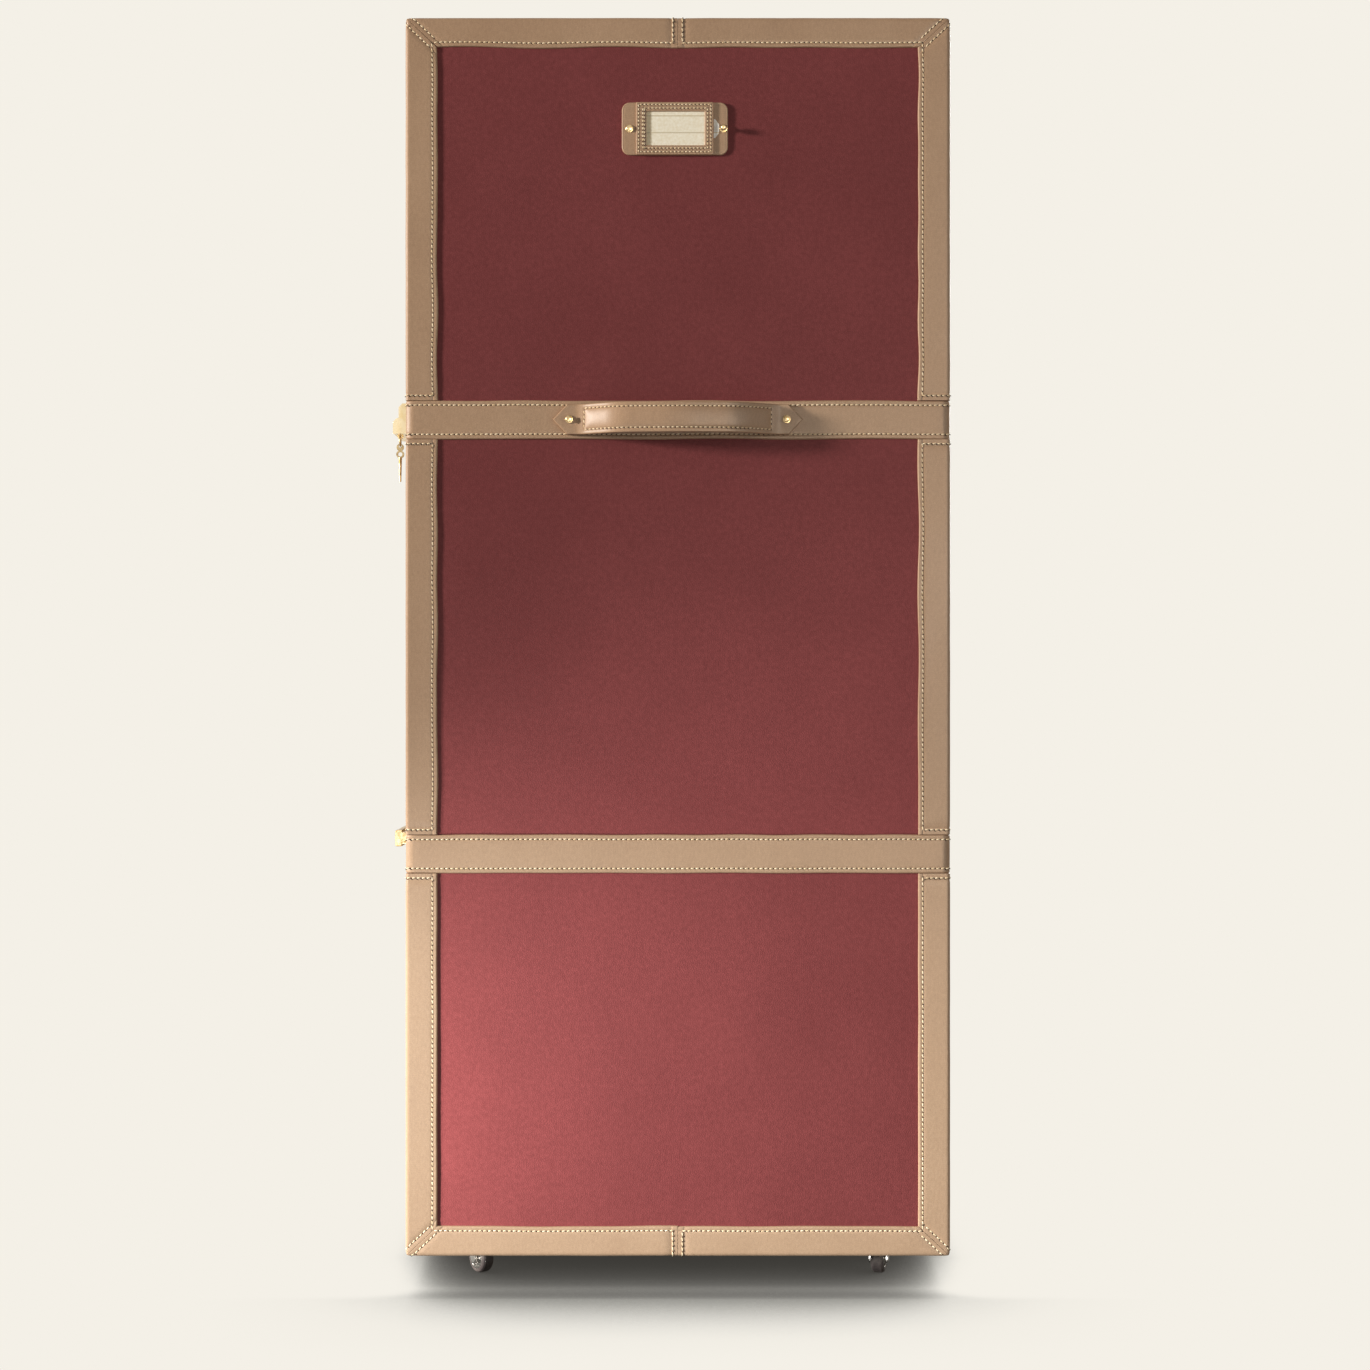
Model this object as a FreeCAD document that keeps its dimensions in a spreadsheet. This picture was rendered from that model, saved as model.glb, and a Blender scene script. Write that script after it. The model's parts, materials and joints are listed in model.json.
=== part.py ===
"""Wardrobe trunk on casters: a leather-bound cabinet with a shallow hinged door, built as a bench assembly.

The frame: +Z is up and the floor is z = 0. The front face looks along -Y, and x = 0, y = 0 is the middle of
the trunk's plan. Every size is in millimetres and comes from the sheet called "sizes".
"""
import FreeCAD
import Part

import os
import re

import Sketcher

Vector = FreeCAD.Vector
Rotation = FreeCAD.Rotation

doc = FreeCAD.newDocument("wardrobe_trunk")

# ---------------------------------------------------------------- sizes

DRIVING = {
    # the closed trunk
    "trunk_width": 550.0,
    "trunk_depth": 550.0,
    "trunk_height": 1250.0,
    "floor_clearance": 43.0,
    "door_depth": 80.0,
    "seam_gap": 1.0,
    "edge_round": 5.0,
    # how far a cutter runs past what it cuts
    "overshoot": 1.0,
    # the wall, from the inside out
    "lining_thickness": 1.5,
    "board_thickness": 10.0,
    "leather_thickness": 1.5,
    "binding_thickness": 2.5,
    # the stitched binding strips
    "side_binding": 32.5,
    "end_binding": 30.5,
    "band_width": 39.0,
    "band_inset": 406.0,
    "butt_gap": 0.3,
    # the carrying handle
    "strap_length": 252.0,
    "strap_width": 30.5,
    "strap_thickness": 5.0,
    "strap_point": 14.5,
    "bow_height": 35.0,
    "bow_foot": 97.0,
    "bow_shoulder": 60.0,
    "shoulder_drop": 6.0,
    "foot_bend": 26.0,
    "shoulder_bend": 45.0,
    "crown_bend": 260.0,
    "handle_stud_spacing": 219.0,
    # the studs
    "stud_shank": 2.0,
    "stud_flange": 4.0,
    "stud_flange_height": 1.0,
    "stud_neck": 1.6,
    "stud_ball": 3.2,
    "stud_play": 0.2,
    # the label holder
    "label_length": 107.0,
    "label_height": 53.0,
    "label_corner": 8.0,
    "label_thickness": 2.5,
    "label_drop": 112.5,
    "label_offset": -3.0,
    "frame_length": 78.5,
    "frame_thickness": 2.0,
    "window_length": 59.0,
    "window_height": 34.0,
    "window_offset": 0.6,
    "card_thickness": 0.5,
    "card_height": 42.0,
    "card_tab_reach": 44.6,
    "card_tab_half": 9.5,
    "card_tab_slant": 4.0,
    "card_margin": 3.0,
    "card_setback": 1.0,
    "label_stud_spacing": 95.0,
    "label_stud_offset": 1.6,
    # the hinges
    "hinge_height": 70.0,
    "hinge_leaf": 1.6,
    "hinge_leaf_width": 24.0,
    "hinge_leaf_gap": 1.2,
    "knuckle_radius": 3.5,
    "hinge_pin_radius": 2.0,
    "hinge_pin_head": 1.5,
    "hinge_standoff": 4.0,
    "knuckle_gap": 0.3,
    "knuckle_relief": 0.5,
    "hinge_inset": 150.0,
    "running_play": 0.05,
    # the lock
    "lock_rise": 6.0,
    "lock_nose": 18.2,
    "lock_lip": 12.0,
    "lock_chamfer": 4.0,
    "lock_softening": 1.0,
    "lock_nose_height": 16.0,
    "lock_lip_height": 15.0,
    "keeper_length": 36.0,
    "keeper_hole_depth": 21.6,
    "case_length": 44.0,
    "seam_setback": 2.0,
    "lock_bolt_height": 8.0,
    "lock_bolt_depth": 6.0,
    "lock_bolt_length": 36.0,
    "bolt_play": 0.2,
    "bolt_stand": 9.0,
    "bolt_inset": 0.5,
    "lock_cylinder_radius": 5.0,
    "lock_cylinder_depth": 2.5,
    "lock_cylinder_proud": 1.0,
    "keyway_width": 1.4,
    "keyway_height": 6.0,
    "keyway_depth": 2.0,
    # the ring and key that hang at the lock
    "lug_radius": 3.2,
    "lug_thickness": 2.0,
    "lug_hole": 1.6,
    "lug_drop": 1.0,
    "ring_radius": 5.0,
    "ring_wire": 0.8,
    "key_thickness": 2.0,
    "key_head": 3.8,
    "key_eye": 1.5,
    "key_bow": 4.1,
    "key_bow_hole": 2.2,
    "key_neck_half": 1.0,
    "key_shank_top": 1.8,
    "key_shank_end": 1.0,
    "key_shank_length": 25.0,
    "key_bit_width": 5.0,
    "key_bit_height": 6.0,
    "key_bit_thickness": 1.2,
    "key_bit_lift": 1.0,
    "key_notch_depth": 1.5,
    # the side catch
    "catch_rise": 12.0,
    "catch_head": 16.7,
    "catch_head_near": 10.0,
    "catch_head_far": 18.0,
    "catch_stem": 12.0,
    "catch_plate": 2.0,
    "catch_plate_height": 26.0,
    "catch_round": 2.0,
    "catch_rod_radius": 3.0,
    "catch_rod_length": 58.0,
    "catch_rod_point": 0.8,
    "catch_keeper_play": 0.5,
    "catch_knob_radius": 4.5,
    "catch_knob_length": 8.0,
    "catch_knob_softening": 1.0,
    # the casters
    "caster_side_margin": 12.0,
    "front_caster_margin": 1.0,
    "rear_caster_margin": 21.0,
    "wheel_radius": 15.0,
    "wheel_width": 14.0,
    "rim_radius": 10.5,
    "rim_band": 1.8,
    "rim_inset": 0.2,
    "hub_inset": 0.5,
    "web_inset": 2.2,
    "web_slant": 0.4,
    "tyre_crown": 1.6,
    "caster_trail": 10.0,
    "axle_radius": 1.9,
    "axle_head": 4.2,
    "axle_head_height": 0.9,
    "fork_leg": 1.8,
    "fork_leg_half": 5.0,
    "wheel_play": 1.0,
    "crown_radius": 11.0,
    "crown_thickness": 3.6,
    "crown_gap": 0.4,
    "race_radius": 12.0,
    "race_height": 4.0,
    "caster_plate_side": 33.0,
    "caster_plate_thickness": 2.0,
    "caster_plate_corner": 4.0,
    "kingpin_radius": 3.0,
    "kingpin_head": 5.0,
    "kingpin_head_height": 1.2,
    # the wardrobe inside
    "rail_radius": 10.0,
    "rail_wall": 1.2,
    "rail_drop": 62.0,
    "socket_radius": 16.0,
    "socket_depth": 12.0,
    "socket_floor": 3.0,
    "shelf_thickness": 12.0,
    "shelf_setback": 8.0,
    "batten": 15.0,
    "inner_play": 0.3,
}

DERIVED = {
    "half_width": "trunk_width / 2",
    "front_face": "-trunk_depth / 2",
    "back_face": "trunk_depth / 2",
    "base_level": "floor_clearance",
    "head_level": "floor_clearance + trunk_height",
    "door_back": "front_face + door_depth",
    "body_front": "door_back + seam_gap",
    "mitre_gap": "butt_gap / 2 * sqrt(2)",
    "board_inset": "binding_thickness + leather_thickness",
    "lining_inset": "board_inset + board_thickness",
    "room_inset": "lining_inset + lining_thickness",
    "field_side": "half_width - side_binding",
    "upper_band_middle": "head_level - band_inset",
    "upper_band_top": "upper_band_middle + band_width / 2",
    "upper_band_foot": "upper_band_middle - band_width / 2",
    "lower_band_middle": "base_level + band_inset",
    "lower_band_top": "lower_band_middle + band_width / 2",
    "lower_band_foot": "lower_band_middle - band_width / 2",
    "field_front": "front_face + binding_thickness",
    "label_centre": "head_level - label_drop",
    "hinge_line_x": "half_width + hinge_standoff",
    "hinge_line_y": "door_back + seam_gap / 2",
    "lock_centre": "upper_band_middle + lock_rise",
    "keeper_near": "door_back - seam_setback",
    "case_near": "body_front + seam_setback",
    "bolt_line_x": "-half_width - bolt_stand",
    "bolt_line_z": "lock_centre - lock_nose_height / 2",
    "ring_line_x": "-half_width - lock_lip",
    "ring_line_z": "lock_centre - lock_nose_height - lug_drop",
    "ring_line_y": "keeper_near - keeper_length / 2",
    "key_head_centre": "ring_line_z - 2 * ring_radius - key_head + key_eye + ring_wire",
    "key_bow_centre": "key_head_centre - key_head - key_bow + ring_wire",
    "key_shank_start": "key_bow_centre - key_bow + ring_wire",
    "catch_centre": "lower_band_middle + catch_rise",
    "catch_rod_x": "-half_width - (catch_head_near + catch_head_far) / 2",
    "caster_top": "base_level + binding_thickness",
    "race_foot": "caster_top - caster_plate_thickness - race_height",
    "crown_top": "race_foot - crown_gap",
    "crown_foot": "crown_top - crown_thickness",
    "caster_side": "field_side - caster_plate_side / 2 - caster_side_margin",
    "front_caster_line": "body_front + side_binding + caster_plate_side / 2 + front_caster_margin",
    "rear_caster_line": "back_face - side_binding - caster_plate_side / 2 - rear_caster_margin",
    "fork_inner": "wheel_width / 2 + wheel_play",
    "fork_outer": "fork_inner + fork_leg",
    "rail_level": "head_level - room_inset - rail_drop",
    "rail_line_y": "(body_front + back_face - room_inset) / 2",
    "shelf_top": "lower_band_middle",
}

SIZE_NAMES = set(DRIVING) | set(DERIVED)

sizes = doc.addObject("Spreadsheet::Sheet", "sizes")
for row, (alias, number) in enumerate(DRIVING.items(), start=1):
    sizes.set(f"A{row}", alias)
    sizes.set(f"B{row}", str(number))
    sizes.setAlias(f"B{row}", alias)
for row, (alias, formula) in enumerate(DERIVED.items(), start=1):
    sizes.set(f"D{row}", alias)
    sizes.set(f"E{row}", "=" + formula)
    sizes.setAlias(f"E{row}", alias)
doc.recompute()


def linked(formula):
    """A formula in plain size names, rewritten to read them from the sheet."""
    return re.sub(r"[a-z][a-z0-9_]*", lambda m: "sizes." + m[0] if m[0] in SIZE_NAMES else m[0], str(formula))


def value(formula):
    """The number that a formula gives now, in millimetres."""
    result = sizes.evalExpression(linked(formula))
    return float(getattr(result, "Value", result))


def bind(thing, **formulas):
    """Tie properties of an object to formulas; a double underscore stands for the dot of a path."""
    for path, formula in formulas.items():
        thing.setExpression(path.replace("__", "."), linked(formula))
    return thing


# ---------------------------------------------------------------- primitives and booleans


def box(name, x, y, z):
    """A block between two formulas along each axis."""
    block = doc.addObject("Part::Box", name)
    bind(block, Length=f"({x[1]}) - ({x[0]})", Width=f"({y[1]}) - ({y[0]})", Height=f"({z[1]}) - ({z[0]})")
    return bind(block, Placement__Base__x=x[0], Placement__Base__y=y[0], Placement__Base__z=z[0])


TURNS = {
    "x": Rotation(Vector(0, 1, 0), 90),
    "y": Rotation(Vector(1, 0, 0), -90),
    "z": Rotation(),
}


def rod(name, along, start, radius, length):
    """A cylinder that starts at a point and runs along an axis."""
    cylinder = doc.addObject("Part::Cylinder", name)
    cylinder.Placement.Rotation = TURNS[along]
    bind(cylinder, Radius=radius, Height=length)
    x, y, z = start
    return bind(cylinder, Placement__Base__x=x, Placement__Base__y=y, Placement__Base__z=z)


def group(name, members):
    """Several solids kept apart in one object."""
    compound = doc.addObject("Part::Compound", name)
    compound.Links = members
    return compound


def boolean(kind, name, base, tools):
    """Part::Cut or Part::Common of one object with one or more others."""
    result = doc.addObject(kind, name)
    result.Base = base
    result.Tool = tools[0] if len(tools) == 1 else group(name + "_tools", tools)
    return result


def cut(name, base, *tools):
    return boolean("Part::Cut", name, base, tools)


def common(name, base, *tools):
    return boolean("Part::Common", name, base, tools)


def fuse(name, *members):
    result = doc.addObject("Part::MultiFuse", name)
    result.Shapes = list(members)
    result.Refine = True
    return result


# ---------------------------------------------------------------- sketches and bodies


def place_point(sketch, geometry, end, x, y):
    """Fix one point of a sketch at two formulas measured from the origin."""
    for direction, axis, formula in (("DistanceX", -2, x), ("DistanceY", -1, y)):
        if str(formula) == "0":
            sketch.addConstraint(Sketcher.Constraint("PointOnObject", geometry, end, axis))
            continue
        index = sketch.addConstraint(Sketcher.Constraint(direction, -1, 1, geometry, end, value(formula)))
        sketch.setExpression(f"Constraints[{index}]", linked(formula))


def draw_polygon(sketch, corners):
    """Closed straight outline through corners that are pairs of formulas."""
    points = [Vector(value(x), value(y), 0) for x, y in corners]
    first = sketch.GeometryCount
    count = len(points)
    for k in range(count):
        sketch.addGeometry(Part.LineSegment(points[k], points[(k + 1) % count]), False)
    for k in range(count):
        after = first + (k + 1) % count
        sketch.addConstraint(Sketcher.Constraint("Coincident", first + k, 2, after, 1))
        place_point(sketch, first + k, 1, *corners[k])


def draw_circle(sketch, centre, radius):
    """Circle about a centre that is a pair of formulas."""
    middle = Vector(value(centre[0]), value(centre[1]), 0)
    index = sketch.addGeometry(Part.Circle(middle, Vector(0, 0, 1), value(radius)), False)
    place_point(sketch, index, 3, *centre)
    size = sketch.addConstraint(Sketcher.Constraint("Radius", index, value(radius)))
    sketch.setExpression(f"Constraints[{size}]", linked(radius))


def new_body(name):
    return doc.addObject("PartDesign::Body", name)


def draw(body, name, plane, offset="0", polygons=(), circles=()):
    """Sketch in a body on one of its origin planes, moved along the plane's normal by a formula."""
    sketch = body.newObject("Sketcher::SketchObject", f"{body.Name}_{name}")
    support = [f for f in body.Origin.OriginFeatures if f.Role == plane + "_Plane"][0]
    sketch.AttachmentSupport = [(support, "")]
    sketch.MapMode = "FlatFace"
    sketch.setExpression("AttachmentOffset.Base.z", linked(offset))
    for corners in polygons:
        draw_polygon(sketch, corners)
    for centre, radius in circles:
        draw_circle(sketch, centre, radius)
    return sketch


def pad(body, sketch, length, midplane=False, back=False):
    """Pad a sketch along its plane's normal, against it, or to both sides."""
    feature = body.newObject("PartDesign::Pad", sketch.Name + "_pad")
    feature.Profile = sketch
    feature.Reversed = back
    if midplane:
        feature.SideType = "Symmetric"
    feature.setExpression("Length", linked(length))
    doc.recompute()
    return feature


def pocket(body, sketch, length, midplane=False, back=False):
    """Cut a sketch out of a body and make sure that it removed something."""
    before = body.Shape.Volume
    feature = body.newObject("PartDesign::Pocket", sketch.Name + "_pocket")
    feature.Profile = sketch
    feature.Reversed = back
    if midplane:
        feature.SideType = "Symmetric"
    feature.setExpression("Length", linked(length))
    doc.recompute()
    if body.Shape.Volume > before - 1e-6:
        raise RuntimeError(f"{feature.Name} cut nothing")
    return feature


def revolve(body, sketch, axis="V_Axis"):
    """Turn a sketch once round one of its own axes."""
    feature = body.newObject("PartDesign::Revolution", sketch.Name + "_turned")
    feature.Profile = sketch
    feature.ReferenceAxis = (sketch, [axis])
    feature.Angle = 360
    doc.recompute()
    return feature


def round_edges(body, name, radius, wanted, kind="PartDesign::Fillet"):
    """Fillet or chamfer the edges of a body's tip that pass a test."""
    base = body.Tip
    picked = [f"Edge{k}" for k, edge in enumerate(base.Shape.Edges, start=1) if wanted(edge)]
    if not picked:
        raise RuntimeError(f"{body.Name} has no edge for {name}")
    feature = body.newObject(kind, f"{body.Name}_{name}")
    feature.Base = (base, picked)
    feature.setExpression("Radius" if kind.endswith("Fillet") else "Size", linked(radius))
    doc.recompute()
    return feature


def along(edge, axis):
    """True for a straight edge parallel to axis 0, 1 or 2."""
    if not isinstance(edge.Curve, Part.Line):
        return False
    return abs(edge.Curve.Direction[axis]) > 0.999


def move(body, x="0", y="0", z="0", turn=None):
    """Put a body at three formulas, turned first."""
    if turn is not None:
        body.Placement.Rotation = turn
    return bind(body, Placement__Base__x=x, Placement__Base__y=y, Placement__Base__z=z)


nodes = []


def keep(thing, label):
    """Name an object as a finished piece."""
    thing.Label = label
    nodes.append(thing)
    return thing


# ---------------------------------------------------------------- case and door walls


def rounded_block(name, inset, y_low, y_high, radius, open_low):
    """Block of the trunk's section, inset all round, with every edge rounded but those at the open end."""
    body = new_body(name)
    side = f"half_width - {inset}"
    low = f"base_level + {inset}"
    high = f"head_level - {inset}"
    corners = [(f"-({side})", low), (side, low), (side, high), (f"-({side})", high)]
    outline = draw(body, "outline", "XZ", f"-({y_high})", polygons=[corners])
    pad(body, outline, f"({y_high}) - ({y_low})")
    seam = value(y_low) if open_low else value(y_high)
    round_edges(
        body, "rounding", radius,
        lambda e: abs(e.BoundBox.YMin - seam) > 1e-6 or e.BoundBox.YLength > 1e-6,
    )
    return body


def wall_set(prefix, y_low, y_high, face_low, face_high, side_low, side_high):
    """Five butt-jointed boards: the large face, two sides, and the top and bottom between them."""
    outer = "half_width - board_inset"
    inner = "half_width - lining_inset"
    low = "base_level + board_inset"
    high = "head_level - board_inset"
    across = (f"-({outer})", outer)
    between = (f"-({inner})", inner)
    depth = (side_low, side_high)
    boards = {
        "face": (across, (face_low, face_high), (low, high)),
        "left": ((f"-({outer})", f"-({inner})"), depth, (low, high)),
        "right": ((inner, outer), depth, (low, high)),
        "top": (between, depth, ("head_level - lining_inset", high)),
        "bottom": (between, depth, (low, "base_level + lining_inset")),
    }
    for side, (x, y, z) in boards.items():
        name = f"{prefix}_{side}_board"
        keep(box(name, x, y, z), name)


door_outer = rounded_block("door_outer", "0", "front_face", "door_back", "edge_round", False)
door_core = rounded_block(
    "door_core", "binding_thickness", "field_front", "door_back", "edge_round - binding_thickness", False
)
case_outer = rounded_block("case_outer", "0", "body_front", "back_face", "edge_round", True)
case_core = rounded_block(
    "case_core",
    "binding_thickness",
    "body_front",
    "back_face - binding_thickness",
    "edge_round - binding_thickness",
    True,
)


def hollow(name, inset, y_low, y_high):
    """Plain block of the trunk's section inset all round."""
    side = f"half_width - {inset}"
    upright = (f"base_level + {inset}", f"head_level - {inset}")
    return box(name, (f"-({side})", side), (y_low, y_high), upright)


door_board_space = hollow("door_board_space", "board_inset", "front_face + board_inset", "door_back")
case_board_space = hollow("case_board_space", "board_inset", "body_front", "back_face - board_inset")
keep(cut("door_leather", door_core, door_board_space), "door_leather")
keep(cut("case_leather", case_core, case_board_space), "case_leather")

wall_set(
    "door", "front_face", "door_back",
    "front_face + board_inset", "front_face + lining_inset", "front_face + lining_inset", "door_back",
)
wall_set(
    "case", "body_front", "back_face",
    "back_face - lining_inset", "back_face - board_inset", "body_front", "back_face - lining_inset",
)

door_lining_block = hollow("door_lining_block", "lining_inset", "front_face + lining_inset", "door_back")
door_room = hollow("door_room", "room_inset", "front_face + room_inset", "door_back")
keep(cut("door_lining", door_lining_block, door_room), "door_lining")
case_lining_block = hollow("case_lining_block", "lining_inset", "body_front", "back_face - lining_inset")
case_room = hollow("case_room", "room_inset", "body_front", "back_face - room_inset")
keep(cut("case_lining", case_lining_block, case_room), "case_lining")

# ---------------------------------------------------------------- stitched binding on the door

door_shell = cut("door_binding_shell", door_outer, door_core)
HALF_GAP = "butt_gap / 2"


def strip_pattern(name, outlines):
    """Cutting pattern of leather strips, drawn on the front plane and run back through the door."""
    pattern = doc.addObject("Sketcher::SketchObject", name + "_pattern")
    pattern.Placement = FreeCAD.Placement(Vector(0, 0, 0), Rotation(Vector(1, 0, 0), 90))
    pattern.setExpression("Placement.Base.y", linked("front_face - edge_round"))
    for corners in outlines:
        draw_polygon(pattern, corners)
    run = doc.addObject("Part::Extrusion", name + "_run")
    run.Base = pattern
    run.DirMode = "Custom"
    run.Dir = Vector(0, 1, 0)
    run.Solid = True
    bind(run, LengthFwd="door_depth + 2 * edge_round")
    keep(common(name, door_shell, run), name)


def side_strips(sign):
    """Three lengths of side binding, mitred at the trunk's corners and butted at the bands."""
    edge = f"{sign} * half_width"
    inner = f"{sign} * field_side"
    top_mitre = "head_level - end_binding"
    foot_mitre = "base_level + end_binding"
    return [
        [
            (edge, f"base_level + mitre_gap"),
            (inner, f"{foot_mitre} + mitre_gap"),
            (inner, f"lower_band_foot - {HALF_GAP}"),
            (edge, f"lower_band_foot - {HALF_GAP}"),
        ],
        [
            (edge, f"lower_band_top + {HALF_GAP}"),
            (inner, f"lower_band_top + {HALF_GAP}"),
            (inner, f"upper_band_foot - {HALF_GAP}"),
            (edge, f"upper_band_foot - {HALF_GAP}"),
        ],
        [
            (edge, f"upper_band_top + {HALF_GAP}"),
            (inner, f"upper_band_top + {HALF_GAP}"),
            (inner, f"{top_mitre} - mitre_gap"),
            (edge, f"head_level - mitre_gap"),
        ],
    ]


def end_strips(edge, inner):
    """Two halves of a top or bottom binding, butted in the middle and mitred at the ends."""
    return [
        [
            (f"{sign} * {HALF_GAP}", edge),
            (f"{sign} * (half_width - mitre_gap)", edge),
            (f"{sign} * (field_side - mitre_gap)", inner),
            (f"{sign} * {HALF_GAP}", inner),
        ]
        for sign in ("-1", "1")
    ]


def band_outline(foot, top):
    return [[("-half_width", foot), ("half_width", foot), ("half_width", top), ("-half_width", top)]]


strip_pattern("door_binding_left", side_strips("-1"))
strip_pattern("door_binding_right", side_strips("1"))
strip_pattern("door_binding_top", end_strips("head_level", "head_level - end_binding"))
strip_pattern("door_binding_bottom", end_strips("base_level", "base_level + end_binding"))
strip_pattern("door_band_upper", band_outline("upper_band_foot", "upper_band_top"))
strip_pattern("door_band_lower", band_outline("lower_band_foot", "lower_band_top"))

# ---------------------------------------------------------------- stitched binding on the case

case_shell = cut("case_binding_shell", case_outer, case_core)
ALL_X = ("-half_width - overshoot", "half_width + overshoot")
RIM_Y = ("body_front - overshoot", f"body_front + side_binding - {HALF_GAP}")
REAR_Y = (f"body_front + side_binding + {HALF_GAP}", "back_face + overshoot")
CORNER_Y = ("back_face - side_binding", "back_face + overshoot")
LENGTHS = (
    ("lower", f"base_level + end_binding + {HALF_GAP}", f"lower_band_foot - {HALF_GAP}"),
    ("middle", f"lower_band_top + {HALF_GAP}", f"upper_band_foot - {HALF_GAP}"),
    ("upper", f"upper_band_top + {HALF_GAP}", f"head_level - end_binding - {HALF_GAP}"),
)
ENDS = (
    ("foot", "base_level - overshoot", f"base_level + end_binding - {HALF_GAP}"),
    ("head", f"head_level - end_binding + {HALF_GAP}", "head_level + overshoot"),
)


def zones(name, y, levels, x_ranges):
    """Blocks that pick lengths of binding out of the shell, one for each x range and level."""
    return [
        box(f"{name}_{level}_{k}", x, y, (low, high))
        for level, low, high in levels
        for k, x in enumerate(x_ranges)
    ]


rim_zones = zones("rim_side", RIM_Y, LENGTHS, [ALL_X]) + zones("rim_end", RIM_Y, ENDS, [ALL_X])
keep(common("case_binding_rim", case_shell, *rim_zones), "case_binding_rim")

CORNER_X = [("-half_width - overshoot", "-field_side"), ("field_side", "half_width + overshoot")]
corner_zones = zones("corner", CORNER_Y, LENGTHS, CORNER_X)
keep(common("case_binding_corners", case_shell, *corner_zones), "case_binding_corners")

HALVES_X = [("-half_width - overshoot", f"-({HALF_GAP})"), (HALF_GAP, "half_width + overshoot")]
end_zones = zones("end", REAR_Y, ENDS, HALVES_X)
end_field = box(
    "end_field",
    ("-field_side", "field_side"),
    ("body_front", "back_face - side_binding"),
    ("base_level - 2 * overshoot", "head_level + 2 * overshoot"),
)
end_pieces = common("case_binding_end_pieces", case_shell, *end_zones)
keep(cut("case_binding_ends", end_pieces, end_field), "case_binding_ends")

for band in ("upper", "lower"):
    levels = ((band, f"{band}_band_foot", f"{band}_band_top"),)
    band_zones = zones("case_band", ("body_front - overshoot", "back_face + overshoot"), levels, [ALL_X])
    keep(common(f"case_band_{band}", case_shell, *band_zones), f"case_band_{band}")

# ---------------------------------------------------------------- studs and handle


def stud(name, x, z, seat, reach):
    """Ball-headed stud: a shank through the leather, a flange that bears on it, a neck and a ball."""
    body = new_body(name)
    head = "stud_flange_height + stud_neck"
    profile = [
        ("0", f"-({reach})"),
        ("stud_shank", f"-({reach})"),
        ("stud_shank", "0"),
        ("stud_flange", "0"),
        ("stud_flange", "stud_flange_height * 0.4"),
        ("stud_flange * 0.8", "stud_flange_height"),
        ("stud_neck", "stud_flange_height"),
        ("stud_neck", head),
        ("stud_ball * 0.8", f"{head} + stud_ball * 0.4"),
        ("stud_ball", f"{head} + stud_ball * 0.95"),
        ("stud_ball * 0.86", f"{head} + stud_ball * 1.5"),
        ("stud_ball * 0.5", f"{head} + stud_ball * 1.85"),
        ("0", f"{head} + stud_ball * 2"),
    ]
    revolve(body, draw(body, "profile", "XY", polygons=[profile]))
    return move(body, x, seat, z, Rotation(Vector(1, 0, 0), 180))


def make_handle():
    """Leather strap that bows away from the upper band, with pointed ends held by two studs."""
    body = new_body("handle_strap")
    tip = "strap_length / 2"
    shoulder_rise = "bow_height - shoulder_drop"
    outer = [
        (f"-({tip})", "strap_thickness"),
        ("-bow_foot", "strap_thickness"),
        ("-bow_shoulder", shoulder_rise),
        ("0", "bow_height"),
        ("bow_shoulder", shoulder_rise),
        ("bow_foot", "strap_thickness"),
        (tip, "strap_thickness"),
    ]
    inner = [(x, f"{rise} - strap_thickness") for x, rise in reversed(outer)]
    inner = [(x, "0" if rise == "strap_thickness - strap_thickness" else rise) for x, rise in inner]
    side_view = [(x, "front_face" if rise == "0" else f"front_face - ({rise})") for x, rise in outer + inner]
    level = "upper_band_middle"
    pad(body, draw(body, "side_view", "XY", level, polygons=[side_view]), "strap_width", midplane=True)

    def bend(name, x, radius):
        near = value("bow_height") / 10
        round_edges(body, name, radius, lambda e: along(e, 2) and abs(abs(e.BoundBox.XMin) - value(x)) < near)

    bend("foot", "bow_foot", "foot_bend")
    bend("shoulder", "bow_shoulder", "shoulder_bend")
    bend("crown", "0", "crown_bend")
    half = "strap_width / 2"
    beyond = f"{tip} + overshoot"
    points = []
    for sx in ("-1", "1"):
        for sz in ("-1", "1"):
            rim = f"{level} + {sz} * ({half} + overshoot)"
            points.append([
                (f"{sx} * ({tip})", level),
                (f"{sx} * ({tip} - strap_point)", f"{level} + {sz} * {half}"),
                (f"{sx} * ({tip} - strap_point)", rim),
                (f"{sx} * ({beyond})", rim),
                (f"{sx} * ({beyond})", level),
            ])
    outline = draw(body, "points", "XZ", "-front_face", polygons=points)
    pocket(body, outline, "bow_height + overshoot", back=True)
    holes = [((f"{s} * handle_stud_spacing / 2", level), "stud_shank + stud_play") for s in ("-1", "1")]
    pocket(body, draw(body, "stud_holes", "XZ", "-front_face", circles=holes), "bow_height", back=True)
    keep(body, "handle_strap")
    seat = "front_face - strap_thickness"
    pair = [
        stud(f"handle_stud_{side}", f"{sign} * handle_stud_spacing / 2", level, seat, "strap_thickness")
        for side, sign in (("left", "-1"), ("right", "1"))
    ]
    keep(group("handle_studs", pair), "handle_studs")


make_handle()

# ---------------------------------------------------------------- label holder


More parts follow.
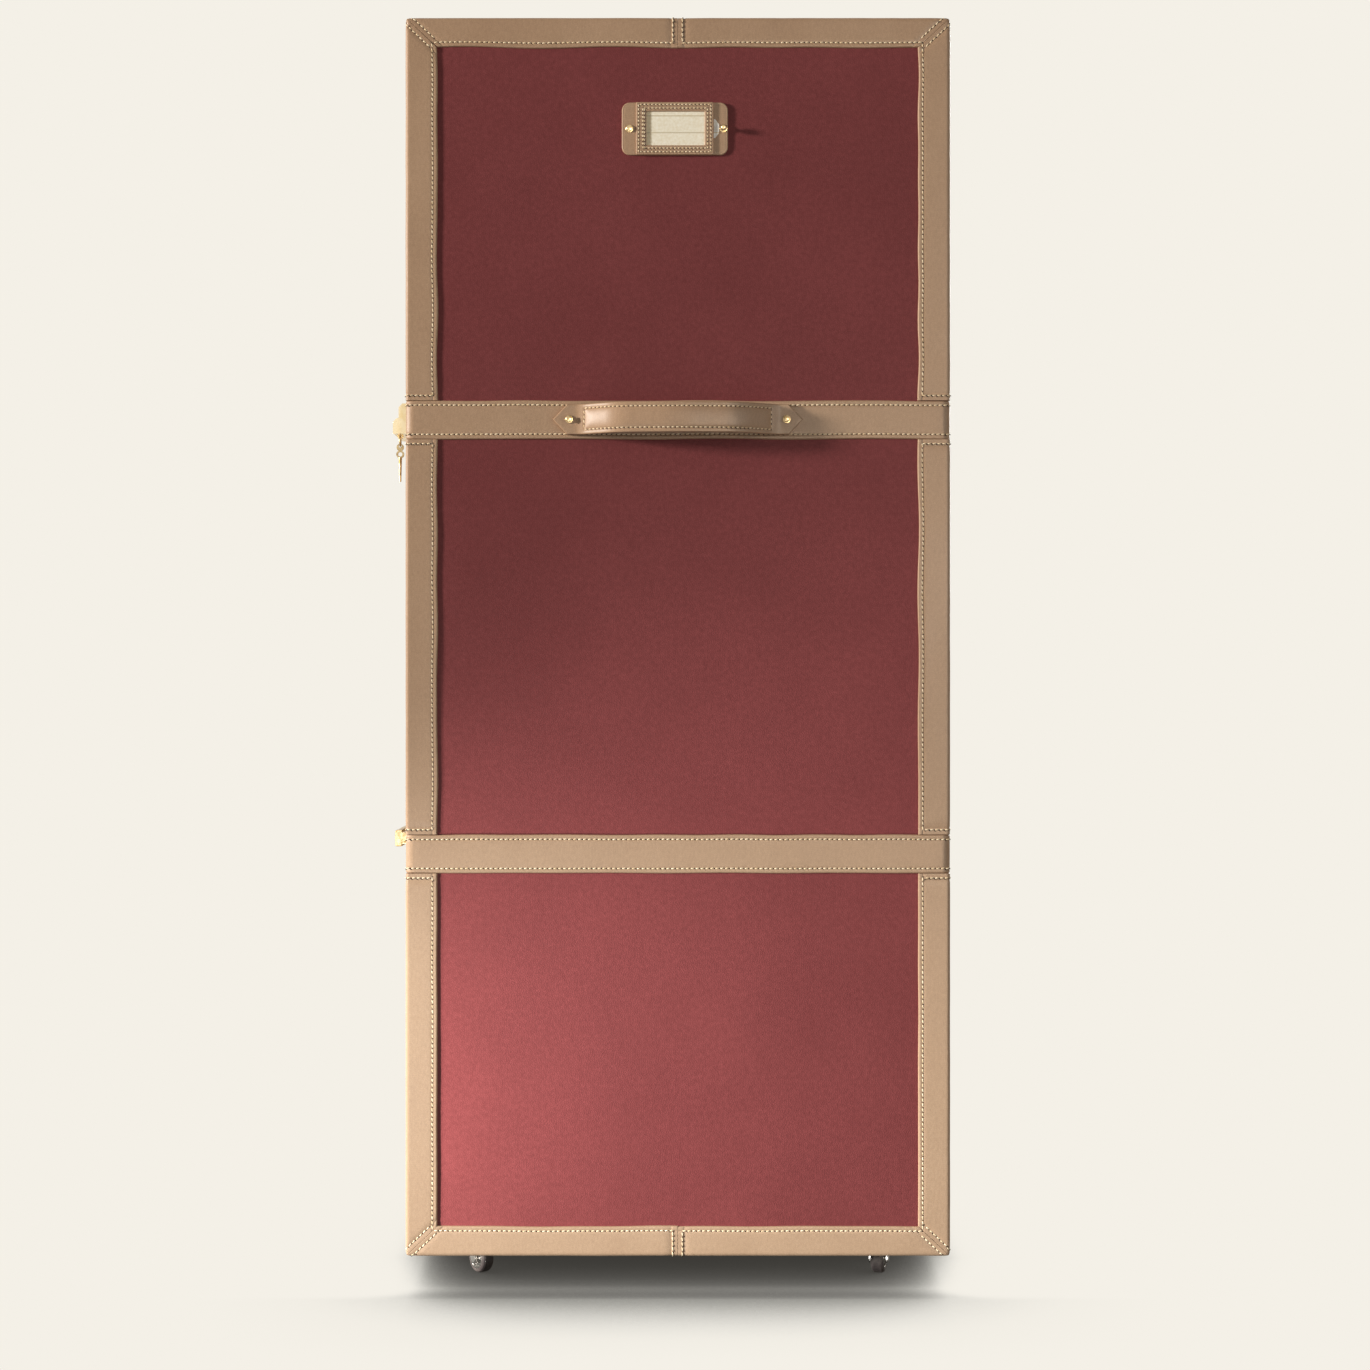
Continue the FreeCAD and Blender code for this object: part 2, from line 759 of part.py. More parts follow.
def make_label():
    """Leather base with round corners, a window frame sewn on it, the card in its slot, and two studs."""
    centre = "label_centre"

    def block(length, height, shift="0"):
        left = f"label_offset + {shift} - ({length}) / 2"
        right = f"label_offset + {shift} + ({length}) / 2"
        low = f"{centre} - ({height}) / 2"
        high = f"{centre} + ({height}) / 2"
        return [(left, low), (right, low), (right, high), (left, high)]

    stud_x = [f"label_offset + label_stud_offset + {s} * label_stud_spacing / 2" for s in ("-1", "1")]
    holes = [((x, centre), "stud_shank + stud_play") for x in stud_x]

    base = new_body("label_base")
    pad(base, draw(base, "outline", "XZ", "-field_front", polygons=[block("label_length", "label_height")]),
        "label_thickness")
    round_edges(base, "corners", "label_corner", lambda e: along(e, 1))
    pocket(base, draw(base, "stud_holes", "XZ", "-field_front", circles=holes),
           "label_thickness + overshoot", back=True)
    keep(base, "label_base")

    seat = "field_front - label_thickness"
    frame = new_body("label_frame")
    pad(frame, draw(frame, "outline", "XZ", f"-({seat})", polygons=[block("frame_length", "label_height")]),
        "frame_thickness")
    window = block("window_length", "window_height", "window_offset")
    pocket(frame, draw(frame, "window", "XZ", f"-({seat})", polygons=[window]),
           "frame_thickness + overshoot", back=True)
    slot_left = "label_offset + window_offset - window_length / 2 - card_margin"
    slot = [
        (slot_left, f"{centre} - card_height / 2 - inner_play"),
        ("label_offset + frame_length / 2 + overshoot", f"{centre} - card_height / 2 - inner_play"),
        ("label_offset + frame_length / 2 + overshoot", f"{centre} + card_height / 2 + inner_play"),
        (slot_left, f"{centre} + card_height / 2 + inner_play"),
    ]
    pocket(frame, draw(frame, "card_slot", "XZ", f"-({seat})", polygons=[slot]),
           "card_thickness + inner_play", back=True)
    keep(frame, "label_frame")

    card = new_body("label_card")
    left = f"{slot_left} + inner_play"
    right = "label_offset + frame_length / 2 - card_setback"
    tab = "label_offset + card_tab_reach"
    outline = [
        (left, f"{centre} - card_height / 2"),
        (right, f"{centre} - card_height / 2"),
        (right, f"{centre} - card_tab_half"),
        (f"{tab} - card_tab_slant", f"{centre} - card_tab_half"),
        (tab, f"{centre} - card_tab_half * 0.45"),
        (tab, f"{centre} + card_tab_half * 0.45"),
        (f"{tab} - card_tab_slant", f"{centre} + card_tab_half"),
        (right, f"{centre} + card_tab_half"),
        (right, f"{centre} + card_height / 2"),
        (left, f"{centre} + card_height / 2"),
    ]
    pad(card, draw(card, "outline", "XZ", f"-({seat})", polygons=[outline]), "card_thickness")
    keep(card, "label_card")

    pair = [
        stud(f"label_stud_{side}", x, centre, seat, "label_thickness")
        for side, x in zip(("left", "right"), stud_x)
    ]
    keep(group("label_studs", pair), "label_studs")


make_label()

# ---------------------------------------------------------------- hinges


def hinge(level, tag):
    """Butt hinge on the right side: two leaves with interleaved knuckles and a headed pin."""
    foot = f"{level} - hinge_height / 2"
    third = "hinge_height / 3"
    axis_x = "hinge_line_x"
    axis_y = "hinge_line_y"
    leaf_x = ("half_width", "half_width + hinge_leaf")
    span = (foot, f"{foot} + hinge_height")
    low = (foot, f"{foot} + {third} - knuckle_gap / 2")
    mid = (f"{foot} + {third} + knuckle_gap / 2", f"{foot} + 2 * {third} - knuckle_gap / 2")
    high = (f"{foot} + 2 * {third} + knuckle_gap / 2", f"{foot} + hinge_height")

    def knuckle(name, z, radius):
        return rod(name, "z", (axis_x, axis_y, z[0]), radius, f"({z[1]}) - ({z[0]})")

    def leaf(name, y, own, other):
        plate = box(name + "_plate", leaf_x, y, span)
        relief = [
            knuckle(f"{name}_relief_{k}", (f"({z[0]}) - knuckle_gap", f"({z[1]}) + knuckle_gap"),
                    "knuckle_radius + knuckle_relief")
            for k, z in enumerate(other)
        ]
        relieved = cut(name + "_relieved", plate, *relief)
        barrels = [knuckle(f"{name}_knuckle_{k}", z, "knuckle_radius") for k, z in enumerate(own)]
        joined = fuse(name + "_joined", relieved, *barrels)
        bore = knuckle(name + "_bore", (f"{foot} - overshoot", f"{foot} + hinge_height + overshoot"),
                       "hinge_pin_radius + running_play")
        return cut(name, joined, bore)

    door_y = (f"{axis_y} - hinge_leaf_width", f"{axis_y} - hinge_leaf_gap")
    case_y = (f"{axis_y} + hinge_leaf_gap", f"{axis_y} + hinge_leaf_width")
    door_leaf = leaf(f"door_hinge_leaf_{tag}", door_y, (low, high), (mid,))
    case_leaf = leaf(f"case_hinge_leaf_{tag}", case_y, (mid,), (low, high))
    head = "knuckle_radius * 0.9"
    pin = fuse(
        f"hinge_pin_{tag}",
        rod(f"pin_{tag}_shank", "z", (axis_x, axis_y, f"{foot} - knuckle_gap"), "hinge_pin_radius",
            "hinge_height + 2 * knuckle_gap"),
        rod(f"pin_{tag}_top", "z", (axis_x, axis_y, f"{foot} + hinge_height + knuckle_gap"), head,
            "hinge_pin_head"),
        rod(f"pin_{tag}_tail", "z", (axis_x, axis_y, f"{foot} - knuckle_gap - hinge_pin_head"), head,
            "hinge_pin_head"),
    )
    return door_leaf, case_leaf, pin


HINGES = (
    ("lower", "base_level + hinge_inset"),
    ("middle", "base_level + trunk_height / 2"),
    ("upper", "head_level - hinge_inset"),
)
hinge_sets = [hinge(level, tag) for tag, level in HINGES]
keep(group("door_hinge_leaves", [s[0] for s in hinge_sets]), "door_hinge_leaves")
keep(group("case_hinge_leaves", [s[1] for s in hinge_sets]), "case_hinge_leaves")
keep(group("hinge_pins", [s[2] for s in hinge_sets]), "hinge_pins")

# ---------------------------------------------------------------- lock, ring and key


def lock_housing(name, y_low, y_high):
    """Stepped brass housing on the left side: a thin lip above, a chamfered nose below."""
    body = new_body(name)
    wall = "-half_width"
    nose = "-half_width - lock_nose"
    lip = "-half_width - lock_lip"
    outline = [
        (wall, "lock_centre - lock_nose_height"),
        (nose, "lock_centre - lock_nose_height"),
        (nose, "lock_centre - lock_chamfer"),
        (f"{nose} + lock_chamfer", "lock_centre"),
        (lip, "lock_centre"),
        (lip, "lock_centre + lock_lip_height - lock_chamfer"),
        (f"{lip} + lock_chamfer", "lock_centre + lock_lip_height"),
        (wall, "lock_centre + lock_lip_height"),
    ]
    pad(body, draw(body, "section", "XZ", f"-({y_high})", polygons=[outline]), f"({y_high}) - ({y_low})")
    round_edges(body, "softening", "lock_softening",
                lambda e: along(e, 1) and e.BoundBox.XMax < value(f"{wall} - lock_softening"))
    return body


def make_lock():
    """Keeper on the door, case and bolt on the trunk, and the keyed cylinder that throws the bolt."""
    keeper = lock_housing("lock_keeper_block", "keeper_near - keeper_length", "keeper_near")
    hole = box(
        "keeper_bolt_hole",
        ("bolt_line_x - lock_bolt_depth / 2 - bolt_play", "bolt_line_x + lock_bolt_depth / 2 + bolt_play"),
        ("keeper_near - keeper_hole_depth", "keeper_near + overshoot"),
        ("bolt_line_z - lock_bolt_height / 2 - bolt_play", "bolt_line_z + lock_bolt_height / 2 + bolt_play"),
    )
    lug_y = ("ring_line_y - lug_thickness / 2", "ring_line_y + lug_thickness / 2")
    lug = fuse(
        "lock_lug",
        rod("lock_lug_round", "y", ("ring_line_x", lug_y[0], "ring_line_z"), "lug_radius", "lug_thickness"),
        box("lock_lug_neck", ("ring_line_x - lug_radius", "ring_line_x + lug_radius"), lug_y,
            ("ring_line_z", "lock_centre - lock_nose_height + overshoot")),
    )
    eye = rod("lock_lug_eye", "y", ("ring_line_x", f"{lug_y[0]} - overshoot", "ring_line_z"), "lug_hole",
              "lug_thickness + 2 * overshoot")
    recess = box(
        "lock_lug_recess",
        ("ring_line_x - 2 * ring_wire", "ring_line_x + 2 * ring_wire"),
        ("ring_line_y - ring_radius - 2 * ring_wire", "ring_line_y + ring_radius + 2 * ring_wire"),
        ("lock_centre - lock_nose_height - overshoot", "ring_line_z + lug_hole"),
    )
    blocked = cut("lock_keeper_bored", keeper, hole, recess)
    keep(cut("lock_keeper", fuse("lock_keeper_joined", blocked, lug), eye), "lock_keeper")

    case = lock_housing("lock_case_block", "case_near", "case_near + case_length")
    channel = box(
        "case_bolt_channel",
        ("bolt_line_x - lock_bolt_depth / 2 - bolt_play", "bolt_line_x + lock_bolt_depth / 2 + bolt_play"),
        ("case_near - overshoot", "case_near + bolt_inset + lock_bolt_length + overshoot"),
        ("bolt_line_z - lock_bolt_height / 2 - bolt_play", "bolt_line_z + lock_bolt_height / 2 + bolt_play"),
    )
    seat = rod(
        "case_cylinder_seat", "x",
        ("-half_width - lock_nose - overshoot", "case_near + case_length / 2", "bolt_line_z"),
        "lock_cylinder_radius + running_play", "lock_cylinder_depth + overshoot",
    )
    keep(cut("lock_case", case, channel, seat), "lock_case")

    keep(box(
        "lock_bolt",
        ("bolt_line_x - lock_bolt_depth / 2", "bolt_line_x + lock_bolt_depth / 2"),
        ("case_near + bolt_inset", "case_near + bolt_inset + lock_bolt_length"),
        ("bolt_line_z - lock_bolt_height / 2", "bolt_line_z + lock_bolt_height / 2"),
    ), "lock_bolt")

    face = "-half_width - lock_nose - lock_cylinder_proud"
    plug = rod(
        "cylinder_plug", "x",
        (face, "case_near + case_length / 2", "bolt_line_z"),
        "lock_cylinder_radius", "lock_cylinder_depth + lock_cylinder_proud - bolt_play",
    )
    keyway = box(
        "cylinder_keyway",
        (f"{face} - overshoot", f"{face} + keyway_depth"),
        ("case_near + case_length / 2 - keyway_width / 2", "case_near + case_length / 2 + keyway_width / 2"),
        ("bolt_line_z - keyway_height / 2", "bolt_line_z + keyway_height / 2"),
    )
    keep(cut("lock_cylinder", plug, keyway), "lock_cylinder")


def make_ring_and_key():
    """Wire ring through the keeper's lug, and a small key that hangs from it by the eye in its bow."""
    ring = doc.addObject("Part::Torus", "key_ring")
    ring.Placement.Rotation = Rotation(Vector(0, 1, 0), 90)
    bind(ring, Radius1="ring_radius", Radius2="ring_wire", Placement__Base__x="ring_line_x")
    bind(ring, Placement__Base__y="ring_line_y", Placement__Base__z="ring_line_z - ring_radius")
    keep(ring, "key_ring")

    thick = "key_thickness"
    near = "ring_line_y - key_thickness / 2"

    def disc(name, level, radius, over="0"):
        return rod(name, "y", ("ring_line_x", f"{near} - {over}", level), radius, f"{thick} + 2 * {over}")

    neck = box(
        "key_neck",
        ("ring_line_x - key_neck_half", "ring_line_x + key_neck_half"),
        (near, f"{near} + {thick}"),
        ("key_bow_centre + (key_bow + key_bow_hole) / 2", "key_head_centre - key_neck_half"),
    )
    shank = doc.addObject("Part::Cone", "key_shank")
    shank.Placement.Rotation = Rotation(Vector(1, 0, 0), 180)
    bind(shank, Radius1="key_shank_top", Radius2="key_shank_end", Height="key_shank_length")
    bind(shank, Placement__Base__x="ring_line_x", Placement__Base__y="ring_line_y")
    bind(shank, Placement__Base__z="key_shank_start")
    bit_foot = "key_shank_start - key_shank_length + key_bit_lift"
    bit = box(
        "key_bit",
        ("ring_line_x - key_bit_thickness / 2", "ring_line_x + key_bit_thickness / 2"),
        ("ring_line_y", "ring_line_y + key_bit_width"),
        (bit_foot, f"{bit_foot} + key_bit_height"),
    )
    notch = box(
        "key_notch",
        ("ring_line_x - key_bit_thickness", "ring_line_x + key_bit_thickness"),
        ("ring_line_y + key_bit_width - key_notch_depth", "ring_line_y + key_bit_width + overshoot"),
        (f"{bit_foot} + key_bit_height * 0.4", f"{bit_foot} + key_bit_height * 0.6"),
    )
    solid = fuse("key_blank", disc("key_head_disc", "key_head_centre", "key_head"), neck,
                 disc("key_bow_disc", "key_bow_centre", "key_bow"), shank, bit)
    eye = disc("key_eye_hole", "ring_line_z - 2 * ring_radius", "key_eye", "overshoot")
    hole = disc("key_bow_opening", "key_bow_centre", "key_bow_hole", "overshoot")
    keep(cut("key", solid, eye, hole, notch), "key")


make_lock()
make_ring_and_key()

# ---------------------------------------------------------------- side catch


def catch_bracket(name, y_low, y_high, bore):
    """Brass rail bracket of T section: plate against the trunk, stem, and a head bored for the rod."""
    body = new_body(name)
    wall = "-half_width"
    near = "-half_width - catch_head_near"
    outer = "-half_width - catch_head_far"
    plate = "-half_width - catch_plate"
    right_side = [
        (wall, "catch_plate_height / 2"),
        (plate, "catch_plate_height / 2"),
        (plate, "catch_stem / 2"),
        (near, "catch_stem / 2"),
        (near, "catch_head / 2"),
        (outer, "catch_head / 2"),
    ]
    section = [(x, f"catch_centre + {z}") for x, z in right_side]
    section += [(x, f"catch_centre - {z}") for x, z in reversed(right_side)]
    pad(body, draw(body, "section", "XZ", f"-({y_high})", polygons=[section]), f"({y_high}) - ({y_low})")
    far = value(outer)

    def on_outer_side(edge):
        return along(edge, 1) and abs(edge.BoundBox.XMin - far) < 1e-6

    round_edges(body, "head_round", "catch_round", on_outer_side)
    hole = rod(name + "_bore", "y", ("catch_rod_x", f"{y_low} - overshoot", "catch_centre"), bore,
               f"({y_high}) - ({y_low}) + 2 * overshoot")
    return cut(name + "_bored", body, hole)


def make_catch():
    """Barrel catch: a keeper on the door, a bracket on the trunk, and a knobbed rod that slides between."""
    keeper = catch_bracket("catch_keeper_block", "keeper_near - keeper_length", "keeper_near",
                           "catch_rod_radius + catch_keeper_play")
    keep(keeper, "catch_keeper")
    bracket = catch_bracket("catch_bracket_block", "case_near", "case_near + case_length",
                            "catch_rod_radius + running_play")
    keep(bracket, "catch_bracket")
    body = new_body("catch_rod")
    start = "case_near + bolt_inset"
    end = f"{start} + catch_rod_length"
    profile = [
        ("0", start),
        ("catch_rod_radius - catch_rod_point", start),
        ("catch_rod_radius", f"{start} + 1.5 * catch_rod_point"),
        ("catch_rod_radius", end),
        ("catch_knob_radius - catch_knob_softening", end),
        ("catch_knob_radius", f"{end} + catch_knob_softening"),
        ("catch_knob_radius", f"{end} + catch_knob_length - 1.5 * catch_knob_softening"),
        ("catch_knob_radius - 1.5 * catch_knob_softening", f"{end} + catch_knob_length"),
        ("0", f"{end} + catch_knob_length"),
    ]
    revolve(body, draw(body, "profile", "XY", polygons=[profile]))
    move(body, "catch_rod_x", "0", "catch_centre")
    keep(body, "catch_rod")


make_catch()

# ---------------------------------------------------------------- casters


def caster_plate(tag, x, y):
    """Square mounting plate with round corners, the swivel race under it and the headed kingpin."""
    body = new_body(f"caster_plate_{tag}")
    half = "caster_plate_side / 2"
    square = [(f"-({half})", f"-({half})"), (half, f"-({half})"), (half, half), (f"-({half})", half)]
    top = "caster_top - caster_plate_thickness"
    pad(body, draw(body, "square", "XY", top, polygons=[square]), "caster_plate_thickness")
    round_edges(body, "corners", "caster_plate_corner", lambda e: along(e, 2))
    race = draw(body, "race", "XY", top, circles=[(("0", "0"), "race_radius")])
    pad(body, race, "race_height", back=True)
    pin = draw(body, "kingpin", "XY", "race_foot", circles=[(("0", "0"), "kingpin_radius")])
    pad(body, pin, "crown_gap + crown_thickness + crown_gap", back=True)
    head = draw(body, "kingpin_head", "XY", "crown_foot - crown_gap", circles=[(("0", "0"), "kingpin_head")])
    pad(body, head, "kingpin_head_height", back=True)
    return move(body, x, y)


def caster_fork(tag, x, y, turn):
    """Pressed fork: a round crown on the kingpin and two raked legs that carry the riveted axle."""
    body = new_body(f"caster_fork_body_{tag}")
    crown = draw(body, "crown", "XY", "crown_foot", circles=[(("0", "0"), "crown_radius")])
    pad(body, crown, "crown_thickness")
    leg = [
        ("fork_leg_half", "crown_foot + crown_thickness / 2"),
        ("-crown_radius * 0.9", "crown_foot + crown_thickness / 2"),
        ("-caster_trail - fork_leg_half", "wheel_radius + fork_leg_half * 0.4"),
        ("-caster_trail - fork_leg_half", "wheel_radius - fork_leg_half * 0.4"),
        ("-caster_trail - fork_leg_half * 0.4", "wheel_radius - fork_leg_half"),
        ("-caster_trail + fork_leg_half * 0.4", "wheel_radius - fork_leg_half"),
        ("-caster_trail + fork_leg_half", "wheel_radius - fork_leg_half * 0.4"),
    ]
    pad(body, draw(body, "legs", "XZ", polygons=[leg]), "2 * fork_outer", midplane=True)
    slot = [
        ("-caster_trail - 2 * fork_leg_half", "0"),
        ("2 * fork_leg_half", "0"),
        ("2 * fork_leg_half", "crown_foot"),
        ("-caster_trail - 2 * fork_leg_half", "crown_foot"),
    ]
    slot = [(u, "wheel_radius - 2 * fork_leg_half" if w == "0" else w) for u, w in slot]
    pocket(body, draw(body, "slot", "XZ", polygons=[slot]), "2 * fork_inner", midplane=True)
    bore = [(("-caster_trail", "wheel_radius"), "axle_radius + running_play")]
    pocket(body, draw(body, "axle_bore", "XZ", circles=bore), "4 * fork_outer", midplane=True)
    king = [(("0", "0"), "kingpin_radius + running_play")]
    pocket(body, draw(body, "king_bore", "XY", "crown_foot - overshoot", circles=king),
           "crown_thickness + 2 * overshoot", back=True)
    move(body, x, y, "0", turn)

    axle = new_body(f"caster_axle_{tag}")
    end = "fork_outer + axle_head_height"
    half = [
        ("0", end),
        ("axle_head * 0.88", end),
        ("axle_head", f"{end} - axle_head_height * 0.45"),
        ("axle_head", "fork_outer"),
        ("axle_radius", "fork_outer"),
    ]
    profile = half + [(r, f"-({w})") for r, w in reversed(half)]
    revolve(axle, draw(axle, "profile", "XY", polygons=[profile]))
    wheel_place(axle, x, y, turn)
    return group(f"caster_fork_{tag}", [body, axle])


def wheel_place(body, x, y, turn):
    """Move a piece that is turned about its own Y axis to the axle of a caster."""
    reach = turn.multVec(Vector(-1, 0, 0))
    trail_x = f"{x} + ({reach.x:.9f}) * caster_trail"
    trail_y = f"{y} + ({reach.y:.9f}) * caster_trail"
    return move(body, trail_x, trail_y, "wheel_radius", turn)


def caster_wheel(tag, x, y, turn):
    """Bright wheel centre with a dished web, and the crowned tyre round it."""
    half = "wheel_width / 2"
    centre = new_body(f"caster_wheel_{tag}")
    web = [
        ("axle_radius + running_play", f"{half} - hub_inset"),
        ("axle_head", f"{half} - hub_inset"),
        ("axle_head + 2 * web_slant", f"{half} - web_inset"),
        ("rim_radius - rim_band - web_slant", f"{half} - web_inset"),
        ("rim_radius - rim_band", f"{half} - rim_inset"),
        ("rim_radius", f"{half} - rim_inset"),
    ]
    section = web + [(r, f"-({w})") for r, w in reversed(web)]
    revolve(centre, draw(centre, "profile", "XY", polygons=[section]))
    keep(wheel_place(centre, x, y, turn), f"caster_wheel_{tag}")

    tyre = new_body(f"caster_tyre_{tag}")
    tread = [
        ("rim_radius", half),
        ("wheel_radius - 2 * tyre_crown", half),
        ("wheel_radius - 0.7 * tyre_crown", f"{half} - 0.6 * tyre_crown"),
        ("wheel_radius", f"{half} - 2 * tyre_crown"),
    ]
    section = tread + [(r, f"-({w})") for r, w in reversed(tread)]
    revolve(tyre, draw(tyre, "profile", "XY", polygons=[section]))
    keep(wheel_place(tyre, x, y, turn), f"caster_tyre_{tag}")


CASTERS = (
    ("front_left", "-caster_side", "front_caster_line", 128.0),
    ("front_right", "caster_side", "front_caster_line", 77.0),
    ("rear_left", "-caster_side", "rear_caster_line", -65.0),
    ("rear_right", "caster_side", "rear_caster_line", -118.0),
)

plates = []
for tag, x, y, yaw in CASTERS:
    turn = Rotation(Vector(0, 0, 1), yaw)
    plates.append(caster_plate(tag, x, y))
    keep(caster_fork(tag, x, y, turn), f"caster_fork_{tag}")
    caster_wheel(tag, x, y, turn)
keep(group("caster_plates", plates), "caster_plates")

# ---------------------------------------------------------------- the wardrobe inside


def make_interior():
    """Hanging rail in two sockets, and a shelf on battens level with the lower band."""
    wall = "half_width - room_inset"
    line = ("rail_line_y", "rail_level")
    end = f"{wall} - socket_floor - inner_play"
    sockets = []
    for tag, start, bore_start in (
        ("left", f"-({wall})", f"-({wall}) + socket_floor"),
        ("right", f"{wall} - socket_depth", f"{wall} - socket_depth - overshoot"),
    ):
        cup = rod(f"rail_socket_{tag}_cup", "x", (start, *line), "socket_radius", "socket_depth")
        bore_length = "socket_depth - socket_floor + overshoot"
        bore_radius = "rail_radius + running_play"
        bore = rod(f"rail_socket_{tag}_bore", "x", (bore_start, *line), bore_radius, bore_length)
        sockets.append(cut(f"rail_socket_{tag}", cup, bore))
    keep(group("rail_sockets", sockets), "rail_sockets")
    tube = rod("rail_tube", "x", (f"-({end})", *line), "rail_radius", f"2 * ({end})")
    bore = rod("rail_bore", "x", (f"-({end}) - overshoot", *line), "rail_radius - rail_wall",
               f"2 * ({end} + overshoot)")
    keep(cut("hanging_rail", tube, bore), "hanging_rail")

    depth = ("body_front + shelf_setback", "back_face - room_inset")
    shelf_z = ("shelf_top - shelf_thickness", "shelf_top")
    keep(box("shelf", (f"-({wall})", wall), depth, shelf_z), "shelf")
    batten_z = ("shelf_top - shelf_thickness - batten", "shelf_top - shelf_thickness")
    battens = [
        box("shelf_batten_left", (f"-({wall})", f"-({wall}) + batten"), depth, batten_z),
        box("shelf_batten_right", (f"{wall} - batten", wall), depth, batten_z),
    ]
    keep(group("shelf_battens", battens), "shelf_battens")


make_interior()

# ---------------------------------------------------------------- checks and export

doc.recompute()

failed = [o.Name for o in doc.Objects if "Invalid" in o.State or "Error" in o.State]
if failed:
    raise RuntimeError(f"these objects failed: {failed}")

labels = [piece.Label for piece in nodes]
if len(set(labels)) != len(labels):
    raise RuntimeError("two pieces share a name")

for piece in nodes:
    shape = piece.Shape
    if shape.isNull() or not shape.isValid() or not shape.Solids:
        raise RuntimeError(f"{piece.Label} has no valid solid")

os.makedirs("parts", exist_ok=True)
for piece in nodes:
    piece.Shape.exportStep(f"parts/{piece.Label}.step")
    print(f"{piece.Label}: {len(piece.Shape.Solids)} solids, {piece.Shape.Volume / 1000:.2f} cm3")
print(f"{len(nodes)} pieces written")
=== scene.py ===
"""Looks of a leather-bound wardrobe trunk on casters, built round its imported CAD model.

The frame is the model's own: +Z up, the floor at z = 0, the front of the door looking along -Y, in metres.
Sizes below are in millimetres unless a name says otherwise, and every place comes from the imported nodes.
"""
import json
import logging
import math
from abc import ABC, abstractmethod
from collections.abc import Callable, Sequence
from dataclasses import dataclass, field
from enum import Enum

import bmesh
import bpy
import numpy as np
from mathutils import Matrix, Vector


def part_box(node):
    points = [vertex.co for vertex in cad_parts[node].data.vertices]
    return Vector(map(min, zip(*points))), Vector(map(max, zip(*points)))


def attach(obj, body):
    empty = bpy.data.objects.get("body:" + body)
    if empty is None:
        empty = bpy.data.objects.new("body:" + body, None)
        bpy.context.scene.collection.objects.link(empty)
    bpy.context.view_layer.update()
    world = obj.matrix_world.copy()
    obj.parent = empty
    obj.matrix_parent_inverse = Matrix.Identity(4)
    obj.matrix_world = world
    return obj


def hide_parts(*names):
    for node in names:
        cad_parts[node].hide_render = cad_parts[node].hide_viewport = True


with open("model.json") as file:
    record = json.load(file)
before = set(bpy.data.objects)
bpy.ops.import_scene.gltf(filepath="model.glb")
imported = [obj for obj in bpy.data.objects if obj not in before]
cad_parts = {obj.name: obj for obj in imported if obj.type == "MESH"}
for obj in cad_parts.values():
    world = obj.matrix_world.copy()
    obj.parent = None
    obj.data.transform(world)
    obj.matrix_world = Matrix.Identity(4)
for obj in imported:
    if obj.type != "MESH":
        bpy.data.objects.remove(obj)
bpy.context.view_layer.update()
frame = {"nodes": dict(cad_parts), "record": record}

log = logging.getLogger("wardrobe_trunk")
Array = np.ndarray
MM = 0.001


# ---------------------------------------------------------------- places read from the frame


def low(node: str) -> Array:
    """Lowest corner of a CAD node, in millimetres."""
    return np.array(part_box(node)[0]) / MM


def high(node: str) -> Array:
    """Highest corner of a CAD node, in millimetres."""
    return np.array(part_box(node)[1]) / MM


@dataclass(frozen=True)
class Trunk:
    """The closed trunk's main planes and the widths of its binding, in millimetres."""

    side: float = float(high("door_band_upper")[0])
    front: float = float(low("door_band_upper")[1])
    door_back: float = float(high("door_binding_left")[1])
    body_front: float = float(low("case_binding_rim")[1])
    back: float = float(high("case_binding_corners")[1])
    foot: float = float(low("door_binding_bottom")[2])
    head: float = float(high("door_binding_top")[2])
    side_width: float = float(high("door_binding_left")[0] - low("door_binding_left")[0])
    end_width: float = float(high("door_binding_bottom")[2] - low("door_binding_bottom")[2])
    band_low: tuple[float, float] = (float(low("door_band_lower")[2]), float(high("door_band_lower")[2]))
    band_high: tuple[float, float] = (float(low("door_band_upper")[2]), float(high("door_band_upper")[2]))
    binding: float = float(low("door_leather")[1] - low("door_band_upper")[1])
    edge_round: float = 3.8
    gap: float = 0.08

    @property
    def field_side(self) -> float:
        """Half the width between the side bindings."""
        return self.side - self.side_width


TRUNK = Trunk()


# ---------------------------------------------------------------- small numerical helpers


def smooth_noise(x: Array, wavelength: float, seed: int, waves: int = 5) -> Array:
    """Gentle wave along a line: a few sines of nearby lengths and seeded phases, about -1 to 1.

    Args:
        x: places along the line, in millimetres.
        wavelength: the mean length of a wave.
        seed: picks the phases.
        waves: how many sines are added.

    Returns:
        One number for each place.
    """
    random = np.random.default_rng(seed)
    lengths = wavelength * random.uniform(0.6, 1.7, waves)
    phases = random.uniform(0, 2 * math.pi, waves)
    total = sum(np.sin(2 * math.pi * x / length + phase) for length, phase in zip(lengths, phases))
    return total / math.sqrt(2 * waves)


def smooth_noise_2d(u: Array, v: Array, wavelength: float, seed: int, waves: int = 9) -> Array:
    """Gentle relief over a sheet: plane waves of seeded direction, length and phase, about -1 to 1."""
    random = np.random.default_rng(seed)
    total = np.zeros(np.broadcast(u, v).shape)
    for _ in range(waves):
        angle, phase = random.uniform(0, 2 * math.pi, 2)
        length = wavelength * random.uniform(0.6, 1.8)
        total = total + np.sin(2 * math.pi * (u * math.cos(angle) + v * math.sin(angle)) / length + phase)
    return total / math.sqrt(2 * waves)


def quarter_roll(distance: Array, radius: float) -> Array:
    """Quarter circle from 0 at an edge to 1 at one radius inside it."""
    inside = np.clip(distance / radius, 0, 1)
    return np.sqrt(np.clip(1 - (1 - inside) ** 2, 0, 1))


